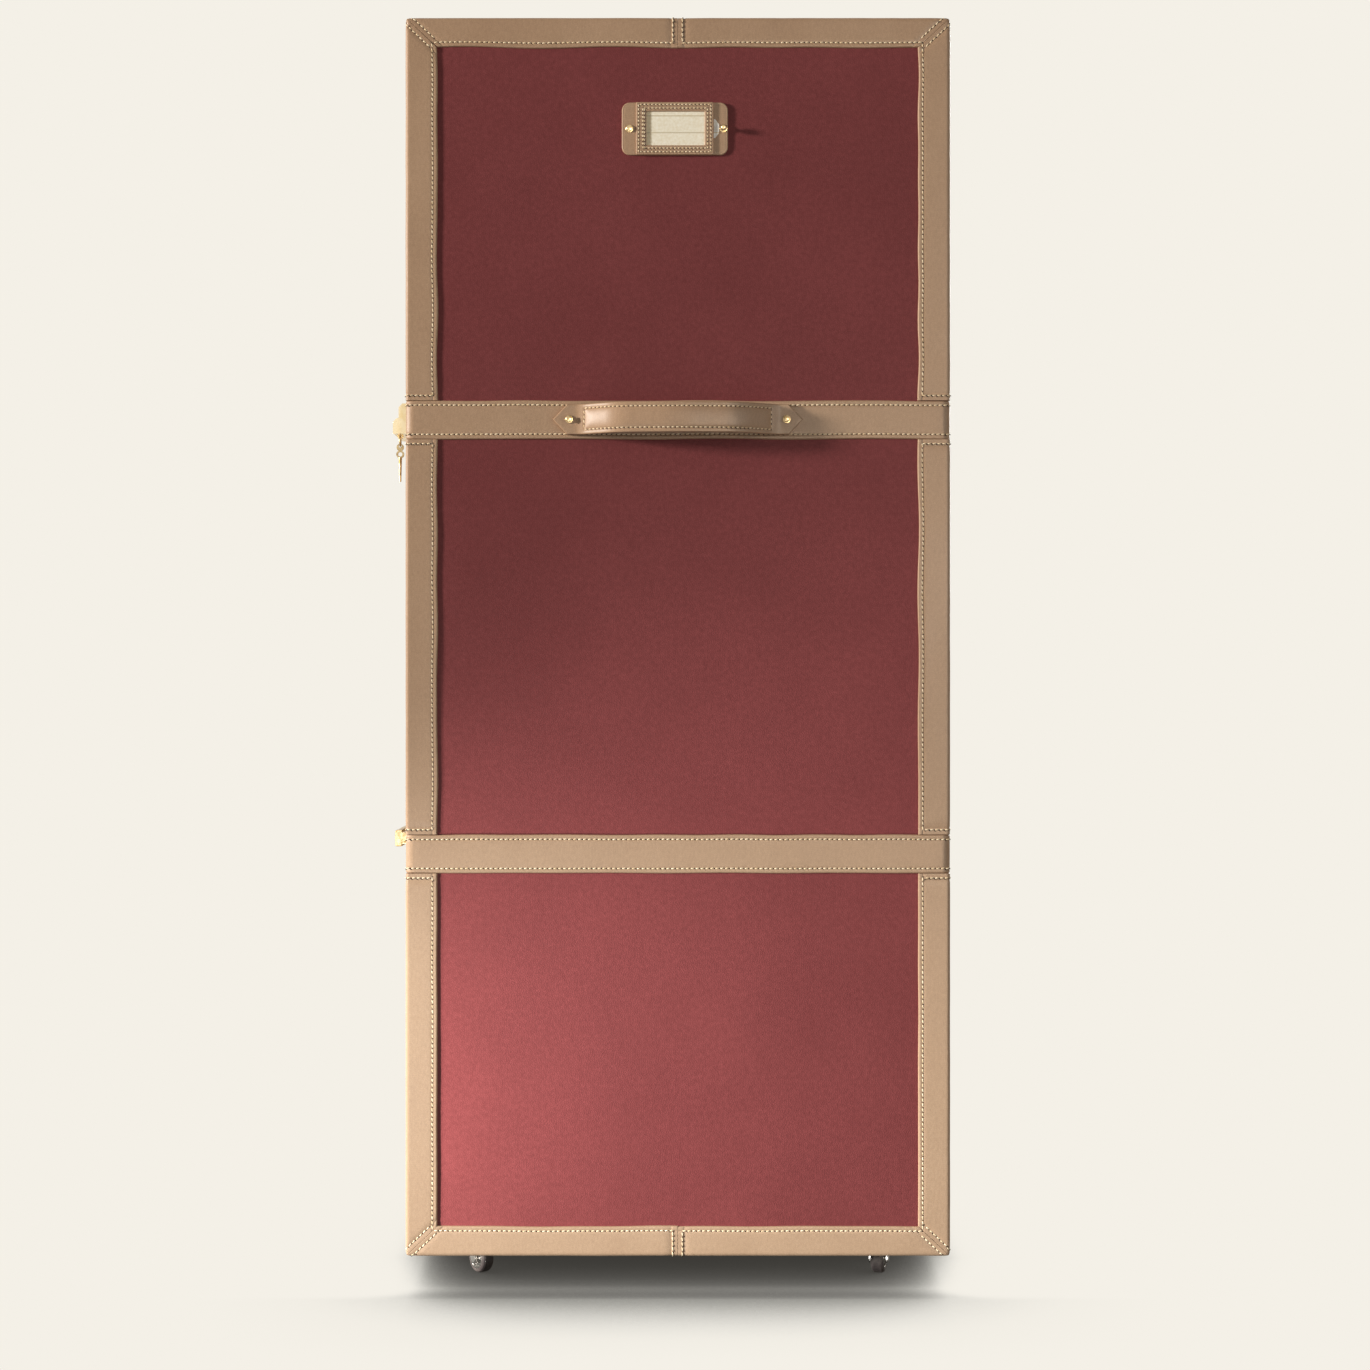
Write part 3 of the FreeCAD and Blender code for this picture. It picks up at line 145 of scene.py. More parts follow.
def graded(start: float, end: float, step: float, near: Sequence[float] = (), fine: float = 1.0) -> Array:
    """Places from start to end about one step apart, with closer ones round given places.

    Args:
        start: the first place.
        end: the last place.
        step: the usual distance.
        near: places that get four closer neighbours each.
        fine: the distance of those neighbours.

    Returns:
        The sorted places, none nearer to the next than a fifth of the fine distance.
    """
    count = max(2, int(math.ceil(abs(end - start) / step)) + 1)
    places = list(np.linspace(start, end, count))
    for middle in near:
        places += [middle + k * fine for k in (-2, -1, -0.4, 0, 0.4, 1, 2)]
    places = np.unique(np.clip(places, min(start, end), max(start, end)))
    keep = np.concatenate([[True], np.diff(places) > fine / 5])
    return places[keep]


# ---------------------------------------------------------------- meshes


def grid_quads(rows: int, columns: int, wrap: bool = False, flip: bool = False) -> Array:
    """Faces of a grid of points stored row by row; wrap joins the last column to the first."""
    index = np.arange(rows * columns).reshape(rows, columns)
    if wrap:
        index = np.concatenate([index, index[:, :1]], axis=1)
    quads = np.stack([index[:-1, :-1], index[:-1, 1:], index[1:, 1:], index[1:, :-1]], axis=-1).reshape(-1, 4)
    return quads[:, ::-1] if flip else quads


@dataclass
class MeshParts:
    """Points and faces gathered for one piece, with a material number for each face."""

    points: list[Array] = field(default_factory=list)
    faces: list[Array] = field(default_factory=list)
    slots: list[Array] = field(default_factory=list)
    count: int = 0

    def add(self, points: Array, faces: Array, slot: int = 0) -> None:
        """Adds points in millimetres and quads or triangles that count from their first point."""
        flat = points.reshape(-1, 3)
        self.points.append(flat)
        self.faces.append(faces + self.count)
        self.slots.append(np.full(len(faces), slot))
        self.count += len(flat)

    def add_grid(self, points: Array, slot: int = 0, wrap: bool = False, flip: bool = False) -> None:
        """Adds a rows by columns by 3 array of points as a sheet of quads."""
        self.add(points, grid_quads(points.shape[0], points.shape[1], wrap, flip), slot)


def make_piece(name: str, parts: MeshParts, finishes: Sequence[bpy.types.Material], body: str,
               slot: str, replaces: Sequence[str] = (), merge: float = 0.0) -> bpy.types.Object:
    """Makes a smooth shaded object from gathered parts and lets it ride on a body.

    Args:
        name: the piece's name.
        parts: its points and faces, in millimetres.
        finishes: its materials in the order of the face numbers.
        body: the CAD body that it rides on.
        slot: the record's material slot; not used.
        replaces: the CAD nodes that it stands for.
        merge: the distance under which points are joined, in millimetres.

    Returns:
        The new object, at the origin.
    """
    mesh = bpy.data.meshes.new(name)
    points = np.concatenate(parts.points) * MM
    faces = [face for group in parts.faces for face in group.tolist()]
    mesh.from_pydata(points.tolist(), [], faces)
    mesh.polygons.foreach_set("material_index", np.concatenate(parts.slots).astype(np.int32))
    mesh.polygons.foreach_set("use_smooth", np.ones(len(faces), bool))
    for finish in finishes:
        mesh.materials.append(finish)
    if merge:
        work = bmesh.new()
        work.from_mesh(mesh)
        bmesh.ops.remove_doubles(work, verts=work.verts, dist=merge * MM)
        work.to_mesh(mesh)
        work.free()
    mesh.validate()
    mesh.update()
    piece = bpy.data.objects.new(name, mesh)
    bpy.context.scene.collection.objects.link(piece)
    return place_on(piece, body, slot, replaces)


def place_on(piece: bpy.types.Object, body: str, slot: str, replaces: Sequence[str]) -> bpy.types.Object:
    """Lets a piece ride on its body and hides the nodes that it stands for."""
    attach(piece, body)
    if replaces:
        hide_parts(*replaces)
    log.info("%s on %s, %d faces", piece.name, body, len(piece.data.polygons))
    return piece


# ---------------------------------------------------------------- finishes

Colour = tuple[float, float, float, float]


def linear(code: str) -> Colour:
    """Linear red, green and blue of an sRGB hex colour, with an alpha of 1."""
    channels = np.array([int(code[k:k + 2], 16) for k in (1, 3, 5)]) / 255
    curved = np.where(channels <= 0.04045, channels / 12.92, ((channels + 0.055) / 1.055) ** 2.4)
    return (*curved.tolist(), 1.0)


def add_node(tree: bpy.types.NodeTree, kind: str, inputs: dict | None = None,
             stops: Sequence[tuple[float, Colour]] = (), **settings: object) -> bpy.types.Node:
    """Adds a node with its settings, its input values or links, and the stops of its ramp if it has one.

    Args:
        tree: the material's node tree.
        kind: the node's type.
        inputs: sockets by name or number, each with a value or with the output that it is linked to.
        stops: positions and colours of a colour ramp.
        settings: the node's own properties.

    Returns:
        The new node.
    """
    node = tree.nodes.new(kind)
    for name, setting in settings.items():
        setattr(node, name, setting)
    for name, given in (inputs or {}).items():
        if isinstance(given, bpy.types.NodeSocket):
            tree.links.new(given, node.inputs[name])
        else:
            node.inputs[name].default_value = given
    for position, colour in stops[2:]:
        node.color_ramp.elements.new(position)
    for element, (position, colour) in zip(node.color_ramp.elements if stops else (), stops):
        element.position, element.color = position, colour
    return node


@dataclass(frozen=True)
class Finish(ABC):
    """A material that is built from nodes on Object coordinates."""

    name: str

    def build(self) -> bpy.types.Material:
        """Makes the material and dresses its shader."""
        material = bpy.data.materials.new(self.name)
        material.use_nodes = True
        tree = material.node_tree
        place = add_node(tree, "ShaderNodeTexCoord").outputs["Object"]
        self.dress(tree, tree.nodes["Principled BSDF"], place)
        return material

    @abstractmethod
    def dress(self, tree: bpy.types.NodeTree, shader: bpy.types.Node, place: bpy.types.NodeSocket) -> None:
        """Sets the shader's sockets and links its patterns."""


@dataclass(frozen=True)
class Leather(Finish):
    """Vegetable-tanned hide: pebbled grain of small cells, a cloudy dye and a satin dressing that varies."""

    deep: str = "#75393a"
    middle: str = "#7b3d3e"
    pale: str = "#834243"
    cell_mm: float = 1.9
    cloud_mm: float = 190.0
    relief_mm: float = 0.13
    roughness: tuple[float, float] = (0.38, 0.52)
    gloss: float = 0.1
    stretch: tuple[float, float, float] = (1.0, 1.0, 1.0)

    def dress(self, tree: bpy.types.NodeTree, shader: bpy.types.Node, place: bpy.types.NodeSocket) -> None:
        """Clouds mix three shades of the dye; cell walls and fine creases give the bump, and the cell walls also
        darken the dye a little as painted shade.
        """
        laid = add_node(tree, "ShaderNodeMapping", {"Vector": place, "Scale": self.stretch}).outputs[0]
        clouds = add_node(tree, "ShaderNodeTexNoise", {
            "Vector": laid, "Scale": 1000 / self.cloud_mm, "Detail": 6.0, "Roughness": 0.55})
        specks = add_node(tree, "ShaderNodeTexNoise", {
            "Vector": laid, "Scale": 1000 / (self.cell_mm * 2.2), "Detail": 3.0})
        shade = add_node(tree, "ShaderNodeMix", {0: 0.5, 2: clouds.outputs[0], 3: specks.outputs[0]})
        dye = add_node(tree, "ShaderNodeValToRGB", {"Fac": shade.outputs[0]}, stops=(
            (0.36, linear(self.deep)), (0.5, linear(self.middle)), (0.64, linear(self.pale))))
        cells = add_node(tree, "ShaderNodeTexVoronoi", {
            "Vector": laid, "Scale": 1000 / self.cell_mm, "Randomness": 0.9}, feature="DISTANCE_TO_EDGE")
        walls = add_node(tree, "ShaderNodeValToRGB", {"Fac": cells.outputs["Distance"]}, stops=(
            (0.0, (0, 0, 0, 1)), (0.22, (1, 1, 1, 1))))
        # The dye is darkened by up to 16 % along the grain's cell walls: painted shade in its crevices.
        sunk = add_node(tree, "ShaderNodeMix", {
            0: 0.16, 6: dye.outputs[0], 7: walls.outputs[0]}, data_type="RGBA", blend_type="MULTIPLY")
        creases = add_node(tree, "ShaderNodeTexNoise", {
            "Vector": laid, "Scale": 1000 / (self.cell_mm * 0.8), "Detail": 5.0, "Roughness": 0.6})
        height = add_node(tree, "ShaderNodeMath", {0: walls.outputs[0], 1: creases.outputs[0]}, operation="ADD")
        bump = add_node(tree, "ShaderNodeBump", {
            "Height": height.outputs[0], "Strength": 0.6, "Distance": self.relief_mm * MM})
        satin = add_node(tree, "ShaderNodeMapRange", {
            "Value": clouds.outputs[0], "From Min": 0.35, "From Max": 0.65,
            "To Min": self.roughness[0], "To Max": self.roughness[1]})
        tree.links.new(sunk.outputs[2], shader.inputs["Base Color"])
        tree.links.new(satin.outputs[0], shader.inputs["Roughness"])
        tree.links.new(bump.outputs[0], shader.inputs["Normal"])
        shader.inputs["Specular IOR Level"].default_value = self.gloss


@dataclass(frozen=True)
class WaxedThread(Finish):
    """Linen saddle thread drawn through beeswax: cream, a little darker where the plies turn, dull."""

    light: str = "#fdebc9"
    dark: str = "#e2c89c"

    def dress(self, tree: bpy.types.NodeTree, shader: bpy.types.Node, place: bpy.types.NodeSocket) -> None:
        """Noise about a ply long varies the shade from stitch to stitch."""
        plies = add_node(tree, "ShaderNodeTexNoise", {"Vector": place, "Scale": 1000 / 3.0, "Detail": 2.0})
        shade = add_node(tree, "ShaderNodeValToRGB", {"Fac": plies.outputs[0]}, stops=(
            (0.35, linear(self.dark)), (0.6, linear(self.light))))
        tree.links.new(shade.outputs[0], shader.inputs["Base Color"])
        shader.inputs["Roughness"].default_value = 0.62
        shader.inputs["IOR"].default_value = 1.45


@dataclass(frozen=True)
class HoleShadeDisc(Finish):
    """A dark disc laid where a stitch goes down its pricked hole: painted shade of the hole, quite dull."""

    colour: str = "#3c2617"

    def dress(self, tree: bpy.types.NodeTree, shader: bpy.types.Node, place: bpy.types.NodeSocket) -> None:
        """A little noise keeps the holes from being alike."""
        torn = add_node(tree, "ShaderNodeTexNoise", {"Vector": place, "Scale": 1000 / 1.5})
        # Both tones of the ramp are painted shade of the hole.
        shade = add_node(tree, "ShaderNodeValToRGB", {"Fac": torn.outputs[0]}, stops=(
            (0.3, linear("#24140c")), (0.7, linear(self.colour))))
        tree.links.new(shade.outputs[0], shader.inputs["Base Color"])
        shader.inputs["Roughness"].default_value = 0.9


@dataclass(frozen=True)
class Metal(Finish):
    """Turned and buffed metal: clear reflections, faint polishing marks and a film of handling."""

    colour: str = "#f4e2bd"
    dull: str = "#e2c993"
    roughness: tuple[float, float] = (0.26, 0.36)
    smear_mm: float = 14.0

    def dress(self, tree: bpy.types.NodeTree, shader: bpy.types.Node, place: bpy.types.NodeSocket) -> None:
        """Slow noise smears the roughness and the colour; fine drawn-out noise gives the buffing lines."""
        film = add_node(tree, "ShaderNodeTexNoise", {
            "Vector": place, "Scale": 1000 / self.smear_mm, "Detail": 4.0, "Roughness": 0.6})
        lines = add_node(tree, "ShaderNodeMapping", {"Vector": place, "Scale": (1.0, 1.0, 14.0)}).outputs[0]
        buffing = add_node(tree, "ShaderNodeTexNoise", {"Vector": lines, "Scale": 1000 / 6.0, "Detail": 3.0})
        tint = add_node(tree, "ShaderNodeValToRGB", {"Fac": film.outputs[0]}, stops=(
            (0.34, linear(self.dull)), (0.56, linear(self.colour))))
        gloss = add_node(tree, "ShaderNodeMapRange", {
            "Value": film.outputs[0], "From Min": 0.3, "From Max": 0.7,
            "To Min": self.roughness[1], "To Max": self.roughness[0]})
        bump = add_node(tree, "ShaderNodeBump", {
            "Height": buffing.outputs[0], "Strength": 0.08, "Distance": 0.03 * MM})
        tree.links.new(tint.outputs[0], shader.inputs["Base Color"])
        tree.links.new(gloss.outputs[0], shader.inputs["Roughness"])
        tree.links.new(bump.outputs[0], shader.inputs["Normal"])
        shader.inputs["Metallic"].default_value = 1.0


@dataclass(frozen=True)
class MouldedRubber(Finish):
    """Moulded wheel tread: dark, dull, with the pitted skin of the mould and some dust."""

    colour: str = "#3b3230"
    dust: str = "#5c514b"

    def dress(self, tree: bpy.types.NodeTree, shader: bpy.types.Node, place: bpy.types.NodeSocket) -> None:
        """Dust follows slow noise, and the pits are fine noise in the bump."""
        dusty = add_node(tree, "ShaderNodeTexNoise", {"Vector": place, "Scale": 1000 / 11.0, "Detail": 5.0})
        shade = add_node(tree, "ShaderNodeValToRGB", {"Fac": dusty.outputs[0]}, stops=(
            (0.4, linear(self.colour)), (0.75, linear(self.dust))))
        pits = add_node(tree, "ShaderNodeTexNoise", {"Vector": place, "Scale": 1000 / 0.9, "Detail": 2.0})
        bump = add_node(tree, "ShaderNodeBump", {
            "Height": pits.outputs[0], "Strength": 0.5, "Distance": 0.06 * MM})
        tree.links.new(shade.outputs[0], shader.inputs["Base Color"])
        tree.links.new(bump.outputs[0], shader.inputs["Normal"])
        shader.inputs["Roughness"].default_value = 0.58


@dataclass(frozen=True)
class BrushedSuede(Finish):
    """Suede-faced lining cloth: a short nap that lies in patches that catch the light at a slant, drawn lighter and
    darker in colour as painted sheen.
    """

    lying: str = "#b79a74"
    raised: str = "#cdb28c"

    def dress(self, tree: bpy.types.NodeTree, shader: bpy.types.Node, place: bpy.types.NodeSocket) -> None:
        """Brush strokes a few centimetres long set the lighter and darker patches, painted sheen of the nap; fibre
        noise gives the nap's bump.
        """
        strokes = add_node(tree, "ShaderNodeTexNoise", {
            "Vector": place, "Scale": 1000 / 55.0, "Detail": 5.0, "Roughness": 0.7, "Distortion": 0.6})
        shade = add_node(tree, "ShaderNodeValToRGB", {"Fac": strokes.outputs[0]}, stops=(
            (0.3, linear(self.lying)), (0.7, linear(self.raised))))
        fibres = add_node(tree, "ShaderNodeTexNoise", {"Vector": place, "Scale": 1000 / 1.1, "Detail": 4.0})
        bump = add_node(tree, "ShaderNodeBump", {
            "Height": fibres.outputs[0], "Strength": 0.55, "Distance": 0.12 * MM})
        tree.links.new(shade.outputs[0], shader.inputs["Base Color"])
        tree.links.new(bump.outputs[0], shader.inputs["Normal"])
        shader.inputs["Roughness"].default_value = 0.92
        shader.inputs["Sheen Weight"].default_value = 0.35


class PlyStack(Enum):
    """The direction in which a board's veneers are stacked."""

    ACROSS = (1.0, 0.0, 0.0)
    DEEP = (0.0, 1.0, 0.0)
    UP = (0.0, 0.0, 1.0)


@dataclass(frozen=True)
class BirchPly(Finish):
    """Sanded birch plywood: pale long grain on the faces and 1.4 mm veneers, light and dark, on the edges."""

    stack: PlyStack = PlyStack.ACROSS
    veneer_mm: float = 1.4
    pale: str = "#dcc29a"
    dark: str = "#b08a5c"

    def dress(self, tree: bpy.types.NodeTree, shader: bpy.types.Node, place: bpy.types.NodeSocket) -> None:
        """A band pattern along the stack darkens every other veneer, and stretched noise draws the grain."""
        drawn = add_node(tree, "ShaderNodeMapping", {"Vector": place, "Scale": (16.0, 16.0, 1.2)}).outputs[0]
        grain = add_node(tree, "ShaderNodeTexNoise", {"Vector": drawn, "Scale": 14.0, "Detail": 6.0})
        depth = add_node(tree, "ShaderNodeVectorMath", {0: place, 1: self.stack.value}, operation="DOT_PRODUCT")
        turns = add_node(tree, "ShaderNodeMath", {
            0: depth.outputs["Value"], 1: math.pi * 1000 / self.veneer_mm}, operation="MULTIPLY")
        veneers = add_node(tree, "ShaderNodeMath", {0: turns.outputs[0]}, operation="SINE")
        mixed = add_node(tree, "ShaderNodeMath", {
            0: veneers.outputs[0], 1: 0.16, 2: grain.outputs[0]}, operation="MULTIPLY_ADD")
        shade = add_node(tree, "ShaderNodeValToRGB", {"Fac": mixed.outputs[0]}, stops=(
            (0.32, linear(self.dark)), (0.58, linear(self.pale))))
        bump = add_node(tree, "ShaderNodeBump", {
            "Height": grain.outputs[0], "Strength": 0.3, "Distance": 0.15 * MM})
        tree.links.new(shade.outputs[0], shader.inputs["Base Color"])
        tree.links.new(bump.outputs[0], shader.inputs["Normal"])
        shader.inputs["Roughness"].default_value = 0.55


@dataclass(frozen=True)
class RuledCard(Finish):
    """Uncoated cream card with plain ruled lines, as on a luggage card before it is filled in."""

    cream: str = "#fff8e6"
    under: str = "#f3e3c4"
    tab: str = "#ffffff"
    line: str = "#cbb995"
    span_mm: tuple[float, float] = (-40.0, 40.0)
    fold_mm: float = -28.0
    tab_mm: float = 36.0
    middle_mm: float = 0.0
    pitch_mm: float = 8.5
    line_mm: float = 0.45

    def dress(self, tree: bpy.types.NodeTree, shader: bpy.types.Node, place: bpy.types.NodeSocket) -> None:
        """The height is folded to the ruling's pitch, and a narrow step of it is the line.

        Along its length the card has three shades: the under leaf left of its fold, the card and its tab, which is
        painted whiter as a painted highlight; a thin line of the ruling's colour at the fold is the painted shadow
        of the card's edge.
        """
        apart = add_node(tree, "ShaderNodeSeparateXYZ", {0: place})
        scaled = add_node(tree, "ShaderNodeMath", {
            0: apart.outputs["Z"], 1: 1000 / self.pitch_mm, 2: 0.5 - self.middle_mm / self.pitch_mm},
            operation="MULTIPLY_ADD")
        fold = add_node(tree, "ShaderNodeMath", {0: scaled.outputs[0], 1: 1.0}, operation="PINGPONG")
        inked = add_node(tree, "ShaderNodeMath", {
            0: fold.outputs[0], 1: self.line_mm / self.pitch_mm}, operation="LESS_THAN")
        along = add_node(tree, "ShaderNodeMapRange", {
            "Value": apart.outputs["X"], "From Min": self.span_mm[0] * MM, "From Max": self.span_mm[1] * MM})
        reach = self.span_mm[1] - self.span_mm[0]
        fold, tab = (self.fold_mm - self.span_mm[0]) / reach, (self.tab_mm - self.span_mm[0]) / reach
        # The line-coloured stop at the fold is a painted shadow of the card's edge, and the white tab a painted
        # highlight.
        leaves = add_node(tree, "ShaderNodeValToRGB", {"Fac": along.outputs[0]}, stops=(
            (0.0, linear(self.under)), (fold - 0.012, linear(self.under)), (fold - 0.004, linear(self.line)),
            (fold + 0.004, linear(self.cream)), (tab, linear(self.cream)), (tab + 0.02, linear(self.tab))))
        fibre = add_node(tree, "ShaderNodeTexNoise", {"Vector": place, "Scale": 1000 / 2.5, "Detail": 5.0})
        mottled = add_node(tree, "ShaderNodeValToRGB", {"Fac": fibre.outputs[0]}, stops=(
            (0.3, linear("#f1ece0")), (0.7, linear("#ffffff"))))
        paper = add_node(tree, "ShaderNodeMix", {
            0: 1.0, 6: leaves.outputs[0], 7: mottled.outputs[0]}, data_type="RGBA", blend_type="MULTIPLY")
        shade = add_node(tree, "ShaderNodeMix", {
            0: inked.outputs[0], 6: paper.outputs[2], 7: linear(self.line)}, data_type="RGBA")
        tree.links.new(shade.outputs[2], shader.inputs["Base Color"])
        shader.inputs["Roughness"].default_value = 0.85


@dataclass
class Palette:
    """Every material of the trunk, built once."""

    burgundy: bpy.types.Material = field(init=False)
    tan: bpy.types.Material = field(init=False)
    thread: bpy.types.Material = field(init=False)
    hole: bpy.types.Material = field(init=False)
    brass: bpy.types.Material = field(init=False)
    darker_brass: bpy.types.Material = field(init=False)
    nickel: bpy.types.Material = field(init=False)
    rubber: bpy.types.Material = field(init=False)
    suede: bpy.types.Material = field(init=False)
    card: bpy.types.Material = field(init=False)
    plywood: dict[PlyStack, bpy.types.Material] = field(init=False)
    card_fold: float = 63.0
    card_tab: float = 2.0

    def __post_init__(self) -> None:
        """Builds the materials; the card's fold and tab are measured from the right end of its frame."""
        self.burgundy = Leather("burgundy_grained_hide").build()
        self.tan = Leather(
            "tan_bridle_leather", deep="#ab8a6e", middle="#b19073", pale="#b79679", cell_mm=0.9, cloud_mm=90.0,
            relief_mm=0.04, roughness=(0.34, 0.46), stretch=(1.0, 1.0, 0.45), gloss=0.25).build()
        self.thread = WaxedThread("waxed_linen_thread").build()
        # The stitch holes are dark discs of painted shade.
        self.hole = HoleShadeDisc("pricked_stitch_hole").build()
        self.brass = Metal("polished_brass").build()
        # A darker, duller brass for the studs, the catch, the key and its ring; on the studs it stands in for the
        # dark reflections in their balls, painted shade.
        self.darker_brass = Metal(
            "worn_unlacquered_brass", colour="#cdb78e", dull="#93794e", roughness=(0.24, 0.42), smear_mm=5.0).build()
        self.nickel = Metal("nickel_plated_steel", colour="#c9c6c1", dull="#9d9a96", roughness=(0.2, 0.36)).build()
        self.rubber = MouldedRubber("moulded_tread_rubber").build()
        self.suede = BrushedSuede("brushed_suede_lining").build()
        middle = float(low("label_card")[2] + high("label_card")[2]) / 2
        ends = float(low("label_card")[0]), float(high("label_card")[0])
        frame_end = float(high("label_frame")[0])
        self.card = RuledCard(
            "cream_ruled_card", span_mm=ends, fold_mm=frame_end - self.card_fold, tab_mm=frame_end - self.card_tab,
            middle_mm=middle).build()
        self.plywood = {stack: BirchPly(f"birch_plywood_{stack.name.lower()}", stack).build() for stack in PlyStack}


# ---------------------------------------------------------------- leather on a rounded box


@dataclass(frozen=True)
class RoundedBox:
    """A box whose edges and corners are rounded, on which leather is laid at a height above or below it."""

    low: tuple[float, float, float]
    high: tuple[float, float, float]
    radius: float

    def lift(self, sharp: Array, height: Array | float = 0.0) -> Array:
        """Moves points of the sharp box onto the rounded one, raised along its normal.

        A point's nearest place on the box shrunk by the radius is found by clamping. The line from there to
        the point is the normal, and the new point lies on it at the radius plus the height.

        Args:
            sharp: points on the faces of the unrounded box.
            height: how far above the rounded surface each one ends.

        Returns:
            The moved points.
        """
        core = np.clip(sharp, np.array(self.low) + self.radius, np.array(self.high) - self.radius)
        away = sharp - core
        length = np.linalg.norm(away, axis=-1, keepdims=True)
        reach = self.radius + np.broadcast_to(height, sharp.shape[:-1])[..., None]
        return core + away / np.maximum(length, 1e-9) * reach

    def normal(self, sharp: Array) -> Array:
        """Outward direction of the rounded surface at points of the sharp one."""
        return self.lift(sharp, 1.0) - self.lift(sharp, 0.0)


# How far a box is drawn out past its open side, so that no edge is rounded there.
FAR = 500.0
DOOR_BOX = RoundedBox(
    (-TRUNK.side, TRUNK.front, TRUNK.foot), (TRUNK.side, TRUNK.door_back + FAR, TRUNK.head), TRUNK.edge_round)
CASE_BOX = RoundedBox(
    (-TRUNK.side, TRUNK.body_front - FAR, TRUNK.foot), (TRUNK.side, TRUNK.back, TRUNK.head), TRUNK.edge_round)


@dataclass(frozen=True)
class Belt:
    """A rounded box reached through a flat belt that runs along x and turns round the two corners at its ends."""

    box: RoundedBox
    side: float
    turn_axis: int
    edge: float
    direction: float

    def around(self, sharp: Array) -> Array:
        """Bends the overhang: what lies past a side in x becomes distance from the edge on the turned axis."""
        over = np.maximum(np.abs(sharp[..., 0]) - self.side, 0)
        turned = sharp.copy()
        turned[..., 0] = np.clip(sharp[..., 0], -self.side, self.side)
        turned[..., self.turn_axis] = self.edge + self.direction * over
        return turned

    def lift(self, sharp: Array, height: Array | float = 0.0) -> Array:
        """Points of the belt on the rounded box, raised by the height."""
        return self.box.lift(self.around(sharp), height)

    def normal(self, sharp: Array) -> Array:
        """Outward direction at points of the belt."""
        return self.box.normal(self.around(sharp))


@dataclass(frozen=True)
class Fold:
    """A path round the sharp box, through its corners, as points and their places along the path."""

    corners: tuple[tuple[float, float, float], ...]

    @property
    def stations(self) -> Array:
        """Distance of each corner from the start of the path."""
        points = np.array(self.corners)
        steps = np.linalg.norm(np.diff(points, axis=0), axis=1)
        return np.concatenate([[0.0], np.cumsum(steps)])

    def at(self, places: Array) -> Array:
        """Points at given distances along the path, by straight interpolation between its corners."""
        points = np.array(self.corners)
        return np.stack([np.interp(places, self.stations, points[:, k]) for k in range(3)], axis=-1)


# How far seams lie from an edge and stitches from each other, and the groove that a seam sinks into.
STITCH_INSET = 4.8
STITCH_PITCH = 4.95
GROOVE_REACH = 0.9
GROOVE_DEPTH = 0.42
# Square to a mitred cut, a step along the strip counts for this share; its seam is set back to match.
MITRE_SLOPE = 0.72
MITRE_INSET = STITCH_INSET * 1.39
# Distance between the points of a seam's line, and places round a fold where the leather's grid is closer.
SEAM_STEP = 0.5
BEND_STEPS = (-5, -3.6, -2.4, -1.2, 0, 1.2, 2.4, 3.6, 5)


